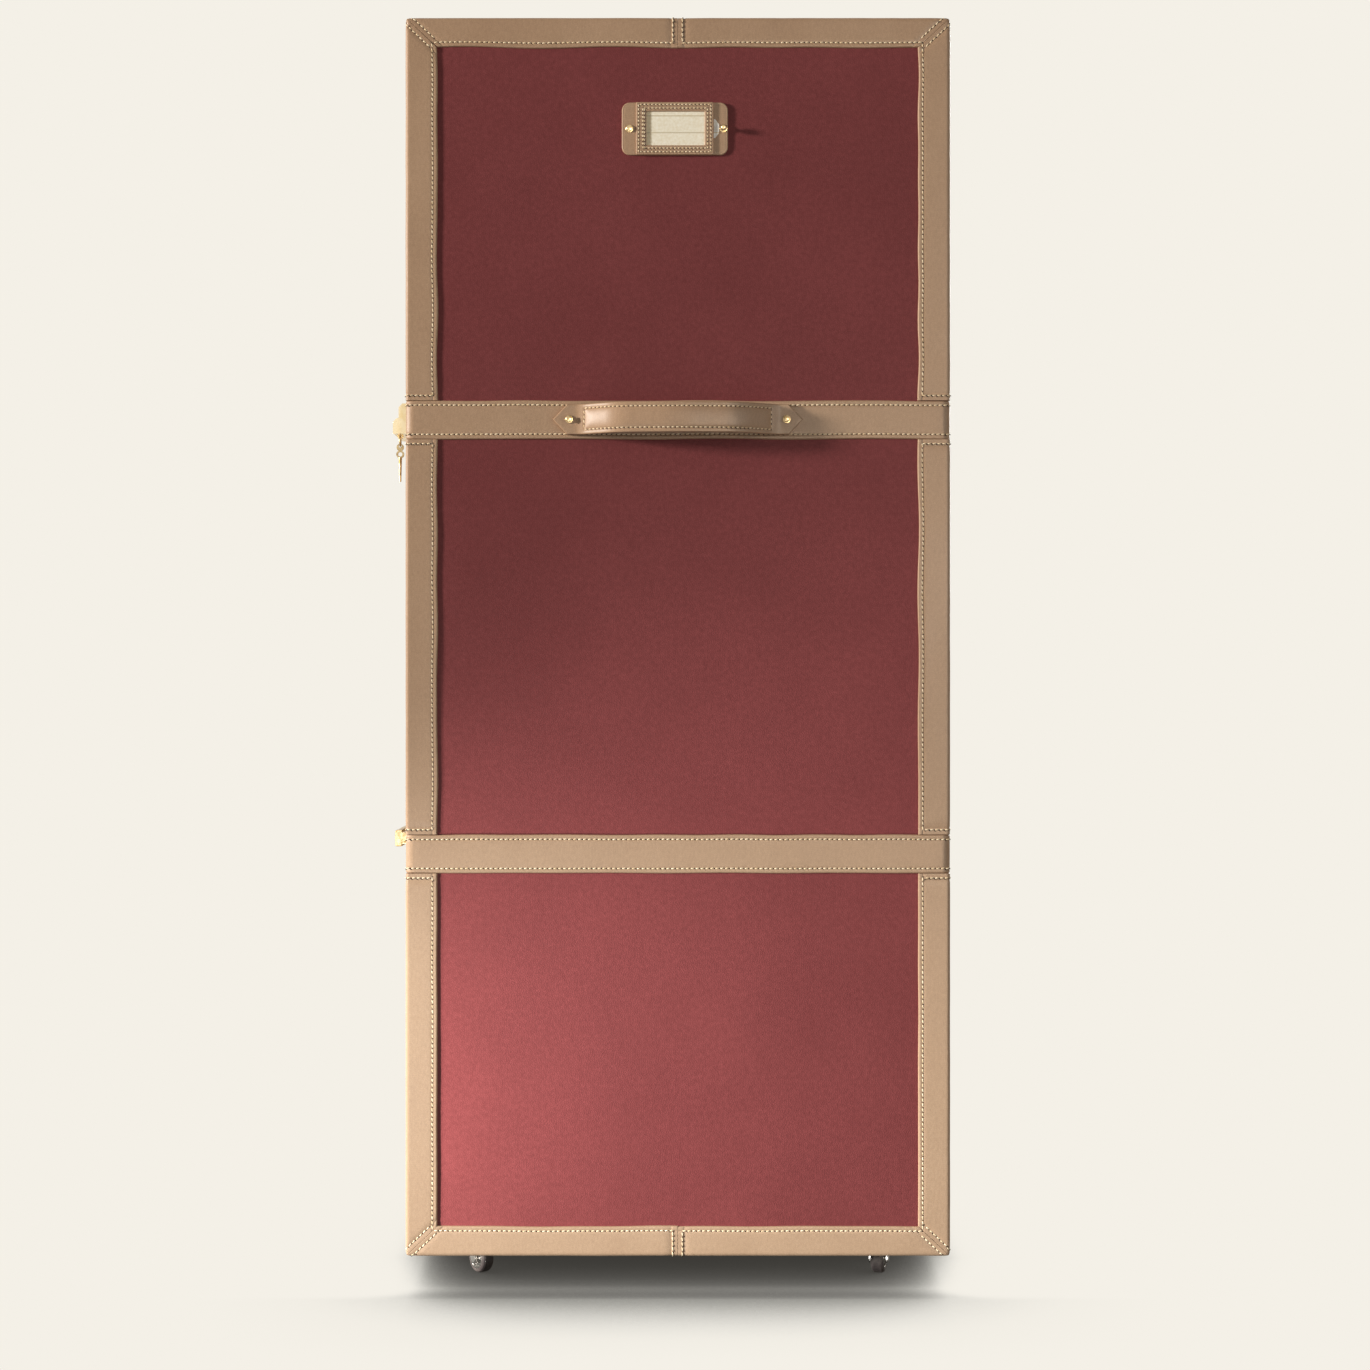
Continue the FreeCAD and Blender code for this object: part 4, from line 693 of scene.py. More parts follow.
@dataclass
class Stitches:
    """Saddle stitches along lines: one thread capsule and two pricked holes, dark discs of painted shade, for each
    stitch.
    """

    length: float = 3.9
    radius: float = 0.6
    rise: float = 0.22
    slant: float = 0.2
    hole: float = 0.68
    pitch: float = STITCH_PITCH
    thread_aside: float = -0.3
    hole_aside: float = 0.5
    hole_spread: float = 0.86
    sides: int = 5
    parts: MeshParts = field(default_factory=MeshParts)

    def capsule(self) -> tuple[Array, Array]:
        """Unit thread: a tube of five rings whose ends dive, as points (along, across, up) and its faces."""
        along = np.array([-0.5, -0.38, 0.0, 0.38, 0.5]) * self.length
        thick = np.array([0.35, 0.9, 1.0, 0.9, 0.35]) * self.radius
        dive = np.array([-0.55, -0.1, 0.0, -0.1, -0.55]) * self.radius * 1.6
        turn = np.arange(self.sides) / self.sides * 2 * math.pi
        across = thick[:, None] * np.cos(turn)
        up = thick[:, None] * np.sin(turn) * 0.8 + dive[:, None] + self.rise
        points = np.stack([np.broadcast_to(along[:, None], across.shape), across, up], axis=-1).reshape(-1, 3)
        return points, grid_quads(len(along), self.sides, wrap=True, flip=True)

    def disc(self) -> tuple[Array, Array]:
        """Unit hole: a small hexagon of painted shade that hugs the seam's groove, as points and one fan of
        triangles.
        """
        turn = np.arange(6) / 6 * 2 * math.pi
        flat = np.concatenate([[[0.0, 0.0]], np.stack([np.cos(turn) * 1.1, np.sin(turn)], axis=-1)]) * self.hole
        up = 0.06 + GROOVE_DEPTH * (1 - np.exp(-((self.hole_aside + flat[:, 1:]) / GROOVE_REACH) ** 2))
        faces = np.array([[0, 1 + k, 1 + (k + 1) % 6] for k in range(6)])
        return np.concatenate([flat, up], axis=-1), faces

    def sew(self, centres: Array, tangents: Array, normals: Array) -> None:
        """Adds a stitch at each centre, turned to its tangent and normal and slanted a little.

        The thread is pulled up and to the left of its pricked holes, whose dark discs of painted shade thus show
        below and to the right of it, away from the lamps on the left.

        Args:
            centres: middle of each stitch on the leather, in millimetres.
            tangents: direction of the seam there, of length 1.
            normals: outward direction there, of length 1.
        """
        down = np.cross(normals, tangents) @ np.array([1.0, 0.0, -1.0])
        tangents = np.where(down < -0.01, -1.0, 1.0)[:, None] * tangents
        across = np.cross(normals, tangents)
        leaning = tangents * math.cos(self.slant) + across * math.sin(self.slant)
        aside = np.cross(normals, leaning)
        frames = np.stack([leaning, aside, normals], axis=1)
        for (points, faces), shift, aslant, slot in (
            (self.capsule(), 0.0, self.thread_aside, 0), (self.disc(), -0.5, self.hole_aside, 1),
            (self.disc(), 0.5, self.hole_aside, 1),
        ):
            base = centres + leaning * (shift * self.pitch * self.hole_spread) + aside * aslant
            placed = base[:, None, :] + np.einsum("pk,nkc->npc", points, frames)
            offsets = np.arange(len(centres))[:, None, None] * len(points)
            self.parts.add(placed, (faces[None] + offsets).reshape(-1, faces.shape[1]), slot)

    def run(self, path: Array, normals: Array, margin: float = 2.6) -> None:
        """Sews along a dense line of points, evenly spaced by its own length, clear of both ends.

        Args:
            path: points along the seam, in millimetres.
            normals: outward directions at those points.
            margin: the least distance from an end of the line to the middle of a stitch.
        """
        steps = np.linalg.norm(np.diff(path, axis=0), axis=1)
        reach = np.concatenate([[0.0], np.cumsum(steps)])
        count = int((reach[-1] - 2 * margin) / self.pitch) + 1
        if count < 1:
            return
        start = (reach[-1] - (count - 1) * self.pitch) / 2
        places = start + np.arange(count) * self.pitch

        def sample(values: Array, at: Array) -> Array:
            """Values of the dense line at distances along it."""
            return np.stack([np.interp(at, reach, values[:, k]) for k in range(3)], axis=-1)

        step = 0.8
        ahead = sample(path, places + step) - sample(path, places - step)
        tangents = ahead / np.linalg.norm(ahead, axis=1, keepdims=True)
        up = sample(normals, places)
        up -= tangents * np.sum(up * tangents, axis=1, keepdims=True)
        up /= np.linalg.norm(up, axis=1, keepdims=True)
        self.sew(sample(path, places), tangents, up)


@dataclass
class Strip:
    """One length of binding leather, folded round the trunk and sewn along its edges.

    Its place is (across, along): across is the distance along a fold, from a free edge, and along is the
    coordinate on the axis that the strip runs down. Its ends may be cut on the slant. The wave says how far
    each free edge wanders, and the trims how short of each kind of end the long seams stop.
    """

    box: RoundedBox | Belt
    fold: Fold
    axis: int
    start: Callable[[Array], Array]
    end: Callable[[Array], Array]
    seed: int
    wave: tuple[float, float]
    wave_length: float = 120.0
    wave_fade: float = 9.0
    thickness: float = TRUNK.binding
    skirt: float = 0.25
    roll: float = 1.3
    end_roll: float = 0.16
    swell: float = 0.18
    swell_reach: float = 6.0
    relief: float = 0.1
    relief_length: float = 42.0
    sink: float = 0.12
    square_trim: float = 3.4
    mitre_trim: float = 0.5

    @property
    def width(self) -> float:
        """Length of the fold, from one free edge to the other."""
        return float(self.fold.stations[-1])

    @property
    def seams(self) -> tuple[float, float]:
        """Places across of the two long seams."""
        return STITCH_INSET, self.width - STITCH_INSET

    def waved(self, across: Array, along: Array) -> Array:
        """Places across the fold once the free edges wander; the wander dies out away from each edge."""
        near = self.wave[0] * smooth_noise(along, self.wave_length, self.seed) * np.exp(-across / self.wave_fade)
        far = self.wave[1] * smooth_noise(along, self.wave_length, self.seed + 50) * np.exp(
            -(self.width - across) / self.wave_fade)
        return across + near + far

    def sharp(self, across: Array, along: Array) -> Array:
        """Points of the sharp box at places of the strip."""
        inside = np.clip(across, 0, self.width)
        points = self.fold.at(inside)
        lead = self.fold.at(np.array([0.0, 1.0]))
        points = points + (across - inside)[..., None] * (lead[1] - lead[0])
        points[..., self.axis] = along
        return points

    def height(self, across: Array, along: Array) -> Array:
        """Height of the top face: rolled edges, a slight swell and a groove along each seam."""
        distances = along - self.start(across), self.end(across) - along
        ends = np.minimum(*distances) * MITRE_SLOPE
        sides = np.minimum(across, self.width - across)
        roll = np.minimum(quarter_roll(np.maximum(sides, 0), self.roll),
                          quarter_roll(np.maximum(ends, 0), self.end_roll))
        lines = [across - seam for seam in self.seams]
        lines += [distance * MITRE_SLOPE - STITCH_INSET for distance in distances]
        sunk = np.exp(-(np.min(np.abs(lines), axis=0) / GROOVE_REACH) ** 2)
        relief = smooth_noise_2d(across, along, self.relief_length, self.seed) * self.relief
        inside = np.maximum(np.minimum(sides, ends), 0)
        soft = self.swell * (1 - np.exp(-inside / self.swell_reach)) - self.swell
        return -self.thickness * (1 - roll) + (soft + relief - GROOVE_DEPTH * sunk) * roll - self.sink

    def build(self, parts: MeshParts) -> None:
        """Adds the strip's top face and the skirt down to the hide below it."""
        bends = [station + step for station in self.fold.stations[1:-1] for step in BEND_STEPS]
        across = graded(0, self.width, 9.0, self.seams, 0.8)
        rolls = [0.0, 0.12, 0.4, 0.8, self.roll, 2.2]
        across = np.unique(np.concatenate([across, bends, rolls, self.width - np.array(rolls)]))
        across = across[np.concatenate([[True], np.diff(across) > 0.1])]
        reach = float(np.max(self.end(across)) - np.min(self.start(across)))
        share = graded(0, reach, STITCH_PITCH * 1.5, [MITRE_INSET, reach - MITRE_INSET], 0.9)
        ends = np.array([0.0, 0.03, 0.1, 0.2, self.end_roll, 0.8]) * 1.4
        share = np.unique(np.concatenate([share, ends, reach - ends])) / reach
        cross, part = np.meshgrid(across, share)
        first, last = self.start(cross), self.end(cross)
        along = first + (last - first) * part
        top = self.box.lift(self.sharp(self.waved(cross, along), along), self.height(cross, along))
        under = self.box.lift(self.sharp(self.waved(cross, along), along), -self.thickness - self.skirt)
        outline = np.concatenate([top[0, :], top[1:, -1], top[-1, -2::-1], top[-2:0:-1, 0]])
        skirt = np.concatenate([under[0, :], under[1:, -1], under[-1, -2::-1], under[-2:0:-1, 0]])
        flip = self.turned_in()
        parts.add_grid(top, flip=flip)
        wall = np.concatenate([np.stack([outline, skirt]), np.stack([outline[:1], skirt[:1]])], axis=1)
        parts.add_grid(wall, flip=not flip)

    def turned_in(self) -> bool:
        """True if the grid's own winding faces inwards, from one cell in the middle of the strip."""
        middle = np.array([self.width * 0.2])
        along = (self.start(middle) + self.end(middle)) / 2
        here = self.sharp(middle, along)
        over = self.sharp(middle + 1, along)
        up = self.sharp(middle, along + 1)
        face = np.cross(over - here, up - here)
        return bool(np.sum(face * self.box.normal(here)) < 0)

    def seam_line(self, across: Array, along: Array) -> tuple[Array, Array]:
        """Dense points and normals of a seam through places of the strip."""
        sharp = self.sharp(self.waved(across, along), along)
        return self.box.lift(sharp, self.height(across, along)), self.box.normal(sharp)

    def leans(self, edge: Callable[[Array], Array]) -> bool:
        """Whether an end is cut on the slant."""
        return abs(float(np.diff(edge(np.array([0.0, min(self.width, 30.0)])))[0])) > 1.0

    def sew(self, stitches: Stitches) -> None:
        """Sews the long seams, and those along the ends, which meet them in a corner."""
        trims = [self.mitre_trim if self.leans(edge) else self.square_trim for edge in (self.start, self.end)]
        for seam in self.seams:
            place = np.array([seam])
            first, last = float(self.start(place)[0]), float(self.end(place)[0])
            along = np.arange(first + trims[0], last - trims[1] + SEAM_STEP, SEAM_STEP)
            stitches.run(*self.seam_line(np.full_like(along, seam), along))
        for edge, sign in ((self.start, 1), (self.end, -1)):
            lead, inset = (2.5, MITRE_INSET) if self.leans(edge) else (-0.8, STITCH_INSET)
            across = np.arange(self.seams[0] + lead, self.seams[1] - 2.5, SEAM_STEP)
            stitches.run(*self.seam_line(across, edge(across) + sign * inset))


# ---------------------------------------------------------------- the sewn bindings


def level(value: float) -> Callable[[Array], Array]:
    """A square end: the same place along the strip all the way across."""
    return lambda across: np.full(np.shape(across), float(value))


def mitre(edge: float, width: float, depth: float, sign: int, slack: float = 0.06) -> Callable[[Array], Array]:
    """A slanted end that runs from the trunk's corner, at one width across, in to the field.

    Args:
        edge: place along the strip of the trunk's own edge.
        width: distance across the strip from the field to that edge.
        depth: how far the mitre comes in along the strip by the time it meets the field.
        sign: 1 where the strip lies above that edge, -1 where it lies below.
        slack: half the gap left between the two mitred strips.

    Returns:
        The end's place along the strip as a function of the place across it.
    """
    return lambda across: edge + sign * (np.maximum(width - across, 0) / width * depth + slack)


def bind(made: dict[str, list[Strip]], body: str, palette: Palette) -> None:
    """Makes a body's binding from its strips, and one piece of all their stitching.

    Args:
        made: the strips of each CAD node.
        body: the body that they ride on.
        palette: the finishes.
    """
    stitches = Stitches()
    for node, strips in made.items():
        parts = MeshParts()
        for strip in strips:
            strip.build(parts)
            strip.sew(stitches)
        make_piece(node + "_leather", parts, [palette.tan], body, "tan_leather", [node])
    make_piece(body + "_stitching", stitches.parts, [palette.thread, palette.hole], body, "tan_leather")


@dataclass
class BoundDoor:
    """The door's mitred binding in butted lengths, and its two full-width bands."""

    palette: Palette
    trunk: Trunk = TRUNK

    def side_fold(self, sign: int) -> Fold:
        """From the field's edge round the front corner to the back of the door."""
        t = self.trunk
        x = sign * t.side
        return Fold(((sign * t.field_side, t.front, 0.0), (x, t.front, 0.0), (x, t.door_back, 0.0)))

    def end_fold(self, z: float, inner: float) -> Fold:
        """From the field's edge over the top or bottom corner to the back of the door."""
        t = self.trunk
        return Fold(((0.0, t.front, inner), (0.0, t.front, z), (0.0, t.door_back, z)))

    def side_strips(self, sign: int) -> list[Strip]:
        """Three lengths of side binding, from the foot up."""
        t = self.trunk
        half = t.gap / 2
        fold = self.side_fold(sign)
        width = t.side_width
        spans = (
            (mitre(t.foot, width, t.end_width, 1), level(t.band_low[0] - half)),
            (level(t.band_low[1] + half), level(t.band_high[0] - half)),
            (level(t.band_high[1] + half), mitre(t.head, width, t.end_width, -1)),
        )
        return [
            Strip(DOOR_BOX, fold, 2, start, end, seed=20 + 3 * sign + k, wave=(0.7, 0.0))
            for k, (start, end) in enumerate(spans)
        ]

    def end_strips(self, z: float, sign: int) -> list[Strip]:
        """Two halves of the top or bottom binding, left then right."""
        t = self.trunk
        half = t.gap / 2
        fold = self.end_fold(z, z - sign * t.end_width)
        cuts = (
            (mitre(-t.side, t.end_width, t.side_width, 1), level(-half)),
            (level(half), mitre(t.side, t.end_width, t.side_width, -1)),
        )
        return [
            Strip(DOOR_BOX, fold, 0, start, end, seed=40 + 5 * sign + k, wave=(0.7, 0.0))
            for k, (start, end) in enumerate(cuts)
        ]

    def band(self, span: tuple[float, float], seed: int) -> list[Strip]:
        """A band in one length that runs round both front corners to the back of the door."""
        t = self.trunk
        fold = Fold(((0.0, t.front, span[0]), (0.0, t.front, span[1])))
        reach = t.side + t.door_back - t.front
        return [Strip(
            Belt(DOOR_BOX, t.side, 1, t.front, 1.0), fold, 0, level(-reach), level(reach), seed, (0.5, 0.5))]

    def build(self) -> None:
        """Makes the six binding nodes and sews them all."""
        t = self.trunk
        bind({
            "door_binding_left": self.side_strips(-1),
            "door_binding_right": self.side_strips(1),
            "door_binding_top": self.end_strips(t.head, 1),
            "door_binding_bottom": self.end_strips(t.foot, -1),
            "door_band_upper": self.band(t.band_high, 61),
            "door_band_lower": self.band(t.band_low, 62),
        }, "door", self.palette)


@dataclass
class BoundCase:
    """The case's binding: a rim at the seam, the rear corners, the ends, and bands round three sides."""

    palette: Palette
    trunk: Trunk = TRUNK

    def lengths(self) -> tuple[tuple[float, float], ...]:
        """The three spans between the end bindings and the bands, from the foot up."""
        t = self.trunk
        half = t.gap / 2
        return (
            (t.foot + t.end_width + half, t.band_low[0] - half),
            (t.band_low[1] + half, t.band_high[0] - half),
            (t.band_high[1] + half, t.head - t.end_width - half),
        )

    def upright(self, fold: Fold, seed: int, wave: tuple[float, float]) -> list[Strip]:
        """Three lengths of one vertical binding."""
        return [
            Strip(CASE_BOX, fold, 2, level(first), level(last), seed + k, wave)
            for k, (first, last) in enumerate(self.lengths())
        ]

    def rim(self) -> list[Strip]:
        """The binding along the seam with the door, whose end pieces run over the corners."""
        t = self.trunk
        inner = t.body_front + t.side_width - t.gap / 2
        strips = []
        for sign in (-1, 1):
            x = sign * t.side
            strips += self.upright(Fold(((x, inner, 0.0), (x, t.body_front, 0.0))), 80 + 5 * sign, (0.7, 0.0))
        for z, direction, seed in ((t.head, -1.0, 91), (t.foot, 1.0, 92)):
            fold = Fold(((0.0, inner, z), (0.0, t.body_front, z)))
            reach = t.side + t.end_width - t.gap / 2
            strips.append(Strip(
                Belt(CASE_BOX, t.side, 2, z, direction), fold, 0, level(-reach), level(reach), seed, (0.7, 0.0)))
        return strips

    def corners(self) -> list[Strip]:
        """The binding folded round both rear corners."""
        t = self.trunk
        strips = []
        for sign in (-1, 1):
            x = sign * t.side
            fold = Fold((
                (x, t.back - t.side_width, 0.0), (x, t.back, 0.0), (sign * t.field_side, t.back, 0.0)))
            strips += self.upright(fold, 100 + 5 * sign, (0.9, 0.9))
        return strips

    def ends(self) -> list[Strip]:
        """The binding round the edges of the top and of the bottom, mitred at the rear corners."""
        t = self.trunk
        first = t.body_front + t.side_width + t.gap / 2
        strips = []
        for z, inward, seed in ((t.head, -1, 120), (t.foot, 1, 130)):
            hem = z + inward * (t.end_width - t.gap / 2)
            for sign in (-1, 1):
                x = sign * t.side
                over = Fold(((sign * t.field_side, 0.0, z), (x, 0.0, z), (x, 0.0, hem)))
                rear = Fold(((0.0, t.back - t.side_width, z), (0.0, t.back, z), (0.0, t.back, hem)))
                strips.append(Strip(
                    CASE_BOX, over, 1, level(first), mitre(t.back, t.side_width, t.side_width, -1), seed + sign,
                    (0.8, 0.0)))
                corner = mitre(sign * t.side, t.side_width, t.side_width, -sign)
                middle = level(sign * t.gap / 2)
                start, end = (middle, corner) if sign > 0 else (corner, middle)
                strips.append(Strip(CASE_BOX, rear, 0, start, end, seed + 4 + sign, (0.8, 0.0)))
        return strips

    def band(self, span: tuple[float, float], seed: int) -> list[Strip]:
        """A band in one length round the back and both sides."""
        t = self.trunk
        fold = Fold(((0.0, t.back, span[0]), (0.0, t.back, span[1])))
        reach = t.side + t.back - t.body_front
        return [Strip(
            Belt(CASE_BOX, t.side, 1, t.back, -1.0), fold, 0, level(-reach), level(reach), seed, (0.5, 0.5))]

    def build(self) -> None:
        """Makes the five binding nodes and sews them all."""
        t = self.trunk
        bind({
            "case_binding_rim": self.rim(),
            "case_binding_corners": self.corners(),
            "case_binding_ends": self.ends(),
            "case_band_upper": self.band(t.band_high, 63),
            "case_band_lower": self.band(t.band_low, 64),
        }, "case", self.palette)


# ---------------------------------------------------------------- the burgundy hides


@dataclass
class Hides:
    """The two burgundy hides that are glued over the boards and show in the fields between the bindings."""

    palette: Palette
    trunk: Trunk = TRUNK
    cell: float = 7.0
    relief: float = 0.22
    waves: tuple[float, float] = (150.0, 45.0)
    finer_share: float = 0.35
    still_edge: float = 12.0
    fade: float = 30.0
    thickness: float = 1.3

    def sheet(self, box: RoundedBox, origin: Array, run: Array, rise: Array, seed: int) -> Array:
        """Grid of one face of the box, lifted by slow waves of the glued hide.

        Args:
            box: the rounded box that the hide covers.
            origin: one corner of the face on the sharp box.
            run: vector along the face's first side.
            rise: vector along its second side.
            seed: picks the waves.

        Returns:
            Rows by columns of points.
        """
        columns = np.linspace(0, 1, int(np.linalg.norm(run) / self.cell) + 2)
        rows = np.linspace(0, 1, int(np.linalg.norm(rise) / self.cell) + 2)
        across, up = np.meshgrid(columns, rows)
        sharp = origin + across[..., None] * run + up[..., None] * rise
        u, v = across * np.linalg.norm(run), up * np.linalg.norm(rise)
        long, short = self.waves
        waves = smooth_noise_2d(u, v, long, seed) + self.finer_share * smooth_noise_2d(u, v, short, seed + 7)
        edge = np.minimum(np.minimum(across, 1 - across) * np.linalg.norm(run),
                          np.minimum(up, 1 - up) * np.linalg.norm(rise))
        fade = np.clip((edge - self.still_edge) / self.fade, 0, 1)
        return box.lift(sharp, self.relief * waves * fade)

    def wrap(self, name: str, node: str, box: RoundedBox, y_open: float, y_face: float, body: str) -> None:
        """Covers the five closed faces of a box, and turns the hide in by its thickness at the open side.

        Args:
            name: the piece's name.
            node: the CAD node that it stands for.
            box: the hide's rounded outer box.
            y_open: where the open side is.
            y_face: where the large closed face is.
            body: the body that it rides on.
        """
        lo, hi = np.array(box.low), np.array(box.high)
        lo[1], hi[1] = min(y_open, y_face), max(y_open, y_face)
        size = hi - lo
        x, y, z = np.eye(3) * size
        parts = MeshParts()
        outward = 1 if y_face < y_open else -1
        faces = (
            (np.array([lo[0], y_face, lo[2]]), x, z, outward > 0, 5),
            (lo, y, z, False, 6),
            (np.array([hi[0], lo[1], lo[2]]), y, z, True, 7),
            (lo, x, y, False, 8),
            (np.array([lo[0], lo[1], hi[2]]), x, y, True, 9),
        )
        for origin, run, rise, outside, seed in faces:
            parts.add_grid(self.sheet(box, origin, run, rise, seed), flip=not outside)
        piece = make_piece(name, parts, [self.palette.burgundy], body, "burgundy_leather", [node], merge=0.02)
        skin = piece.modifiers.new("hide_thickness", "SOLIDIFY")
        skin.thickness, skin.offset = self.thickness * MM, -1.0

    def build(self) -> None:
        """Makes both hides, inset from the trunk's outside by the binding that lies on them."""
        t = self.trunk
        inset = t.binding
        radius = t.edge_round - inset
        door = RoundedBox((-t.side + inset, t.front + inset, t.foot + inset),
                          (t.side - inset, t.door_back + FAR, t.head - inset), radius)
        case = RoundedBox((-t.side + inset, t.body_front - FAR, t.foot + inset),
                          (t.side - inset, t.back - inset, t.head - inset), radius)
        self.wrap("door_hide", "door_leather", door, t.door_back, t.front + inset, "door")
        self.wrap("case_hide", "case_leather", case, t.body_front, t.back - inset, "case")


# ---------------------------------------------------------------- the carrying handle


@dataclass
class CarryingHandle:
    """The bowed leather handle: pointed ends that studs hold down, and a padded middle sewn all round.

    A place on it is (x, across): x along the trunk's front and across up it, from the strap's middle.
    """

    palette: Palette
    trunk: Trunk = TRUNK
    thickness: float = 4.6
    point: float = 14.5
    foot: float = 97.0
    shoulder: float = 60.0
    drop: float = 5.0
    seam_inset: float = 4.6
    seam_reach: float = 92.0
    padding: float = 1.3
    padding_reach: float = 3.5
    groove: float = 0.4
    relief: float = 0.07
    relief_length: float = 30.0
    roll: float = 1.2
    under_roll: float = 0.7
    point_slope: float = 0.69
    stitches: Stitches = field(
        default_factory=lambda: Stitches(length=3.1, radius=0.55, rise=0.25, hole=0.7, pitch=4.65))
    tip: float = float(high("handle_strap")[0])
    half: float = float(high("handle_strap")[2] - low("handle_strap")[2]) / 2
    level: float = float(high("handle_strap")[2] + low("handle_strap")[2]) / 2
    bow: float = float(high("handle_strap")[1] - low("handle_strap")[1])

    def rise(self, x: Array) -> Array:
        """Height of the strap's under face over the band.

        A bow with straight sides is averaged over a short reach on both sides of each place, which rounds its
        bends; the reach is longest at the crown.
        """
        crown = self.bow - self.thickness
        reach = np.interp(np.abs(x), [0, self.shoulder, self.foot, self.tip], [20.0, 12.0, 8.0, 4.0])
        near = np.abs(x[..., None] + reach[..., None] * np.linspace(-1, 1, 41))
        straight = np.interp(near, [0, self.shoulder, self.foot], [crown, crown - self.drop, 0.0])
        return straight.mean(axis=-1)

    def outward(self, x: Array) -> Array:
        """Direction away from the strap's under face, of length 1."""
        slope = self.rise(x + 0.5) - self.rise(x - 0.5)
        length = np.sqrt(1 + slope ** 2)
        return np.stack([-slope / length, -1 / length, np.zeros(np.shape(x))], axis=-1)

    def place(self, x: Array, across: Array, height: Array | float) -> Array:
        """Points over the under face at places of the strap."""
        base = np.stack([x, self.trunk.front - self.rise(x), self.level + across], axis=-1)
        return base + self.outward(x) * np.broadcast_to(height, np.shape(x))[..., None]

    def half_width(self, x: Array) -> Array:
        """Half the strap's width, which runs down to nothing over the points."""
        return self.half * np.clip((self.tip - np.abs(x)) / self.point, 0.004, 1.0)

    def top(self, x: Array, across: Array) -> Array:
        """Height of the outer face: rolled edges, the padding inside the seam and the groove along it."""
        edge = (self.half_width(x) - np.abs(across)) * np.where(
            np.abs(x) > self.tip - self.point, self.point_slope, 1.0)
        inside = np.minimum(self.half - self.seam_inset - np.abs(across), self.seam_reach - np.abs(x))
        padded = self.padding * (1 - np.exp(-np.maximum(inside, 0) / self.padding_reach))
        sunk = self.groove * np.exp(-(inside / GROOVE_REACH) ** 2)
        relief = self.relief * smooth_noise_2d(x, across, self.relief_length, 5)
        fold = quarter_roll(np.maximum(edge, 0), self.roll)
        return self.thickness - self.roll * (1 - fold) + (padded - sunk + relief) * fold

    def build(self) -> None:
        """Makes the strap as a closed tube of sections and sews its outline."""
        corner = self.tip - self.point
        x = graded(-self.tip, self.tip, 2.4, (-corner, corner, -self.seam_reach, self.seam_reach), 0.7)
        near_tip = self.tip - np.array([0.1, 0.6, 1.4])
        x = np.unique(np.concatenate([x, near_tip, -near_tip]))
        inner = graded(0, self.half - 2.2, 2.2, (self.half - self.seam_inset,), 0.7)
        half_section = np.concatenate([inner, self.half - np.array([1.3, 0.8, 0.4, 0.12, 0.0])]) / self.half
        section = np.concatenate([-half_section[:0:-1], half_section])
        place, share = np.meshgrid(x, section, indexing="ij")
        across = share * self.half_width(place)
        outer = self.place(place, across, self.top(place, across))
        edge = self.half_width(place) - np.abs(across)
        rolled = self.under_roll * (1 - quarter_roll(np.maximum(edge, 0), self.under_roll))
        under = self.place(place, across, rolled)
        parts = MeshParts()
        parts.add_grid(np.concatenate([outer, under[:, ::-1]], axis=1), wrap=True, flip=True)
        make_piece("handle_strap_leather", parts, [self.palette.tan], "door", "tan_leather", ["handle_strap"])
        self.sew()

    def sew(self) -> None:
        """Sews the rectangle round the padding: two long seams and two short ones."""
        seam = self.half - self.seam_inset
        long = np.arange(-self.seam_reach, self.seam_reach + 0.1, SEAM_STEP)
        short = np.arange(-seam, seam + 0.1, SEAM_STEP)
        lines = [(long, np.full_like(long, sign * seam)) for sign in (-1, 1)]
        lines += [(np.full_like(short, sign * self.seam_reach), short) for sign in (-1, 1)]
        for margin, (x, across) in zip((0.6, 0.6, 3.0, 3.0), lines):
            self.stitches.run(self.place(x, across, self.top(x, across)), self.outward(x), margin)
        make_piece("handle_stitching", self.stitches.parts, [self.palette.thread, self.palette.hole],
                   "door", "tan_leather")


# ---------------------------------------------------------------- the label holder


@dataclass(frozen=True)
class Ring:
    """A rectangle with round corners that stands upright at a depth, one contour of a flat leather piece."""

    middle: tuple[float, float]
    half: tuple[float, float]
    radius: float
    y: float

    def points(self, per_corner: int = 7) -> Array:
        """The contour's points, anticlockwise as seen from the front, the same number for every ring."""
        turn = np.linspace(0, math.pi / 2, per_corner)
        angles = np.concatenate([turn + k * math.pi / 2 for k in range(4)])
        signs = np.repeat([(1, 1), (-1, 1), (-1, -1), (1, -1)], per_corner, axis=0)
        core = np.array(self.middle) + signs * (np.array(self.half) - self.radius)
        flat = core + self.radius * np.stack([np.cos(angles), np.sin(angles)], axis=-1)
        return np.stack([flat[:, 0], np.full(len(flat), self.y), flat[:, 1]], axis=-1)

    def shrunk(self, inset: float, y: float) -> "Ring":
        """The contour a little further in, at another depth."""
        half = (self.half[0] - inset, self.half[1] - inset)
        return Ring(self.middle, half, max(self.radius - inset, 0.3), y)

    def blended(self, other: "Ring", share: float, y: float) -> "Ring":
        """A contour between this one and another, at another depth."""
        def mix(a: float, b: float) -> float:
            """The value at this share of the way from a to b."""
            return a + (b - a) * share

        return Ring(
            (mix(self.middle[0], other.middle[0]), mix(self.middle[1], other.middle[1])),
            (mix(self.half[0], other.half[0]), mix(self.half[1], other.half[1])),
            mix(self.radius, other.radius), y)


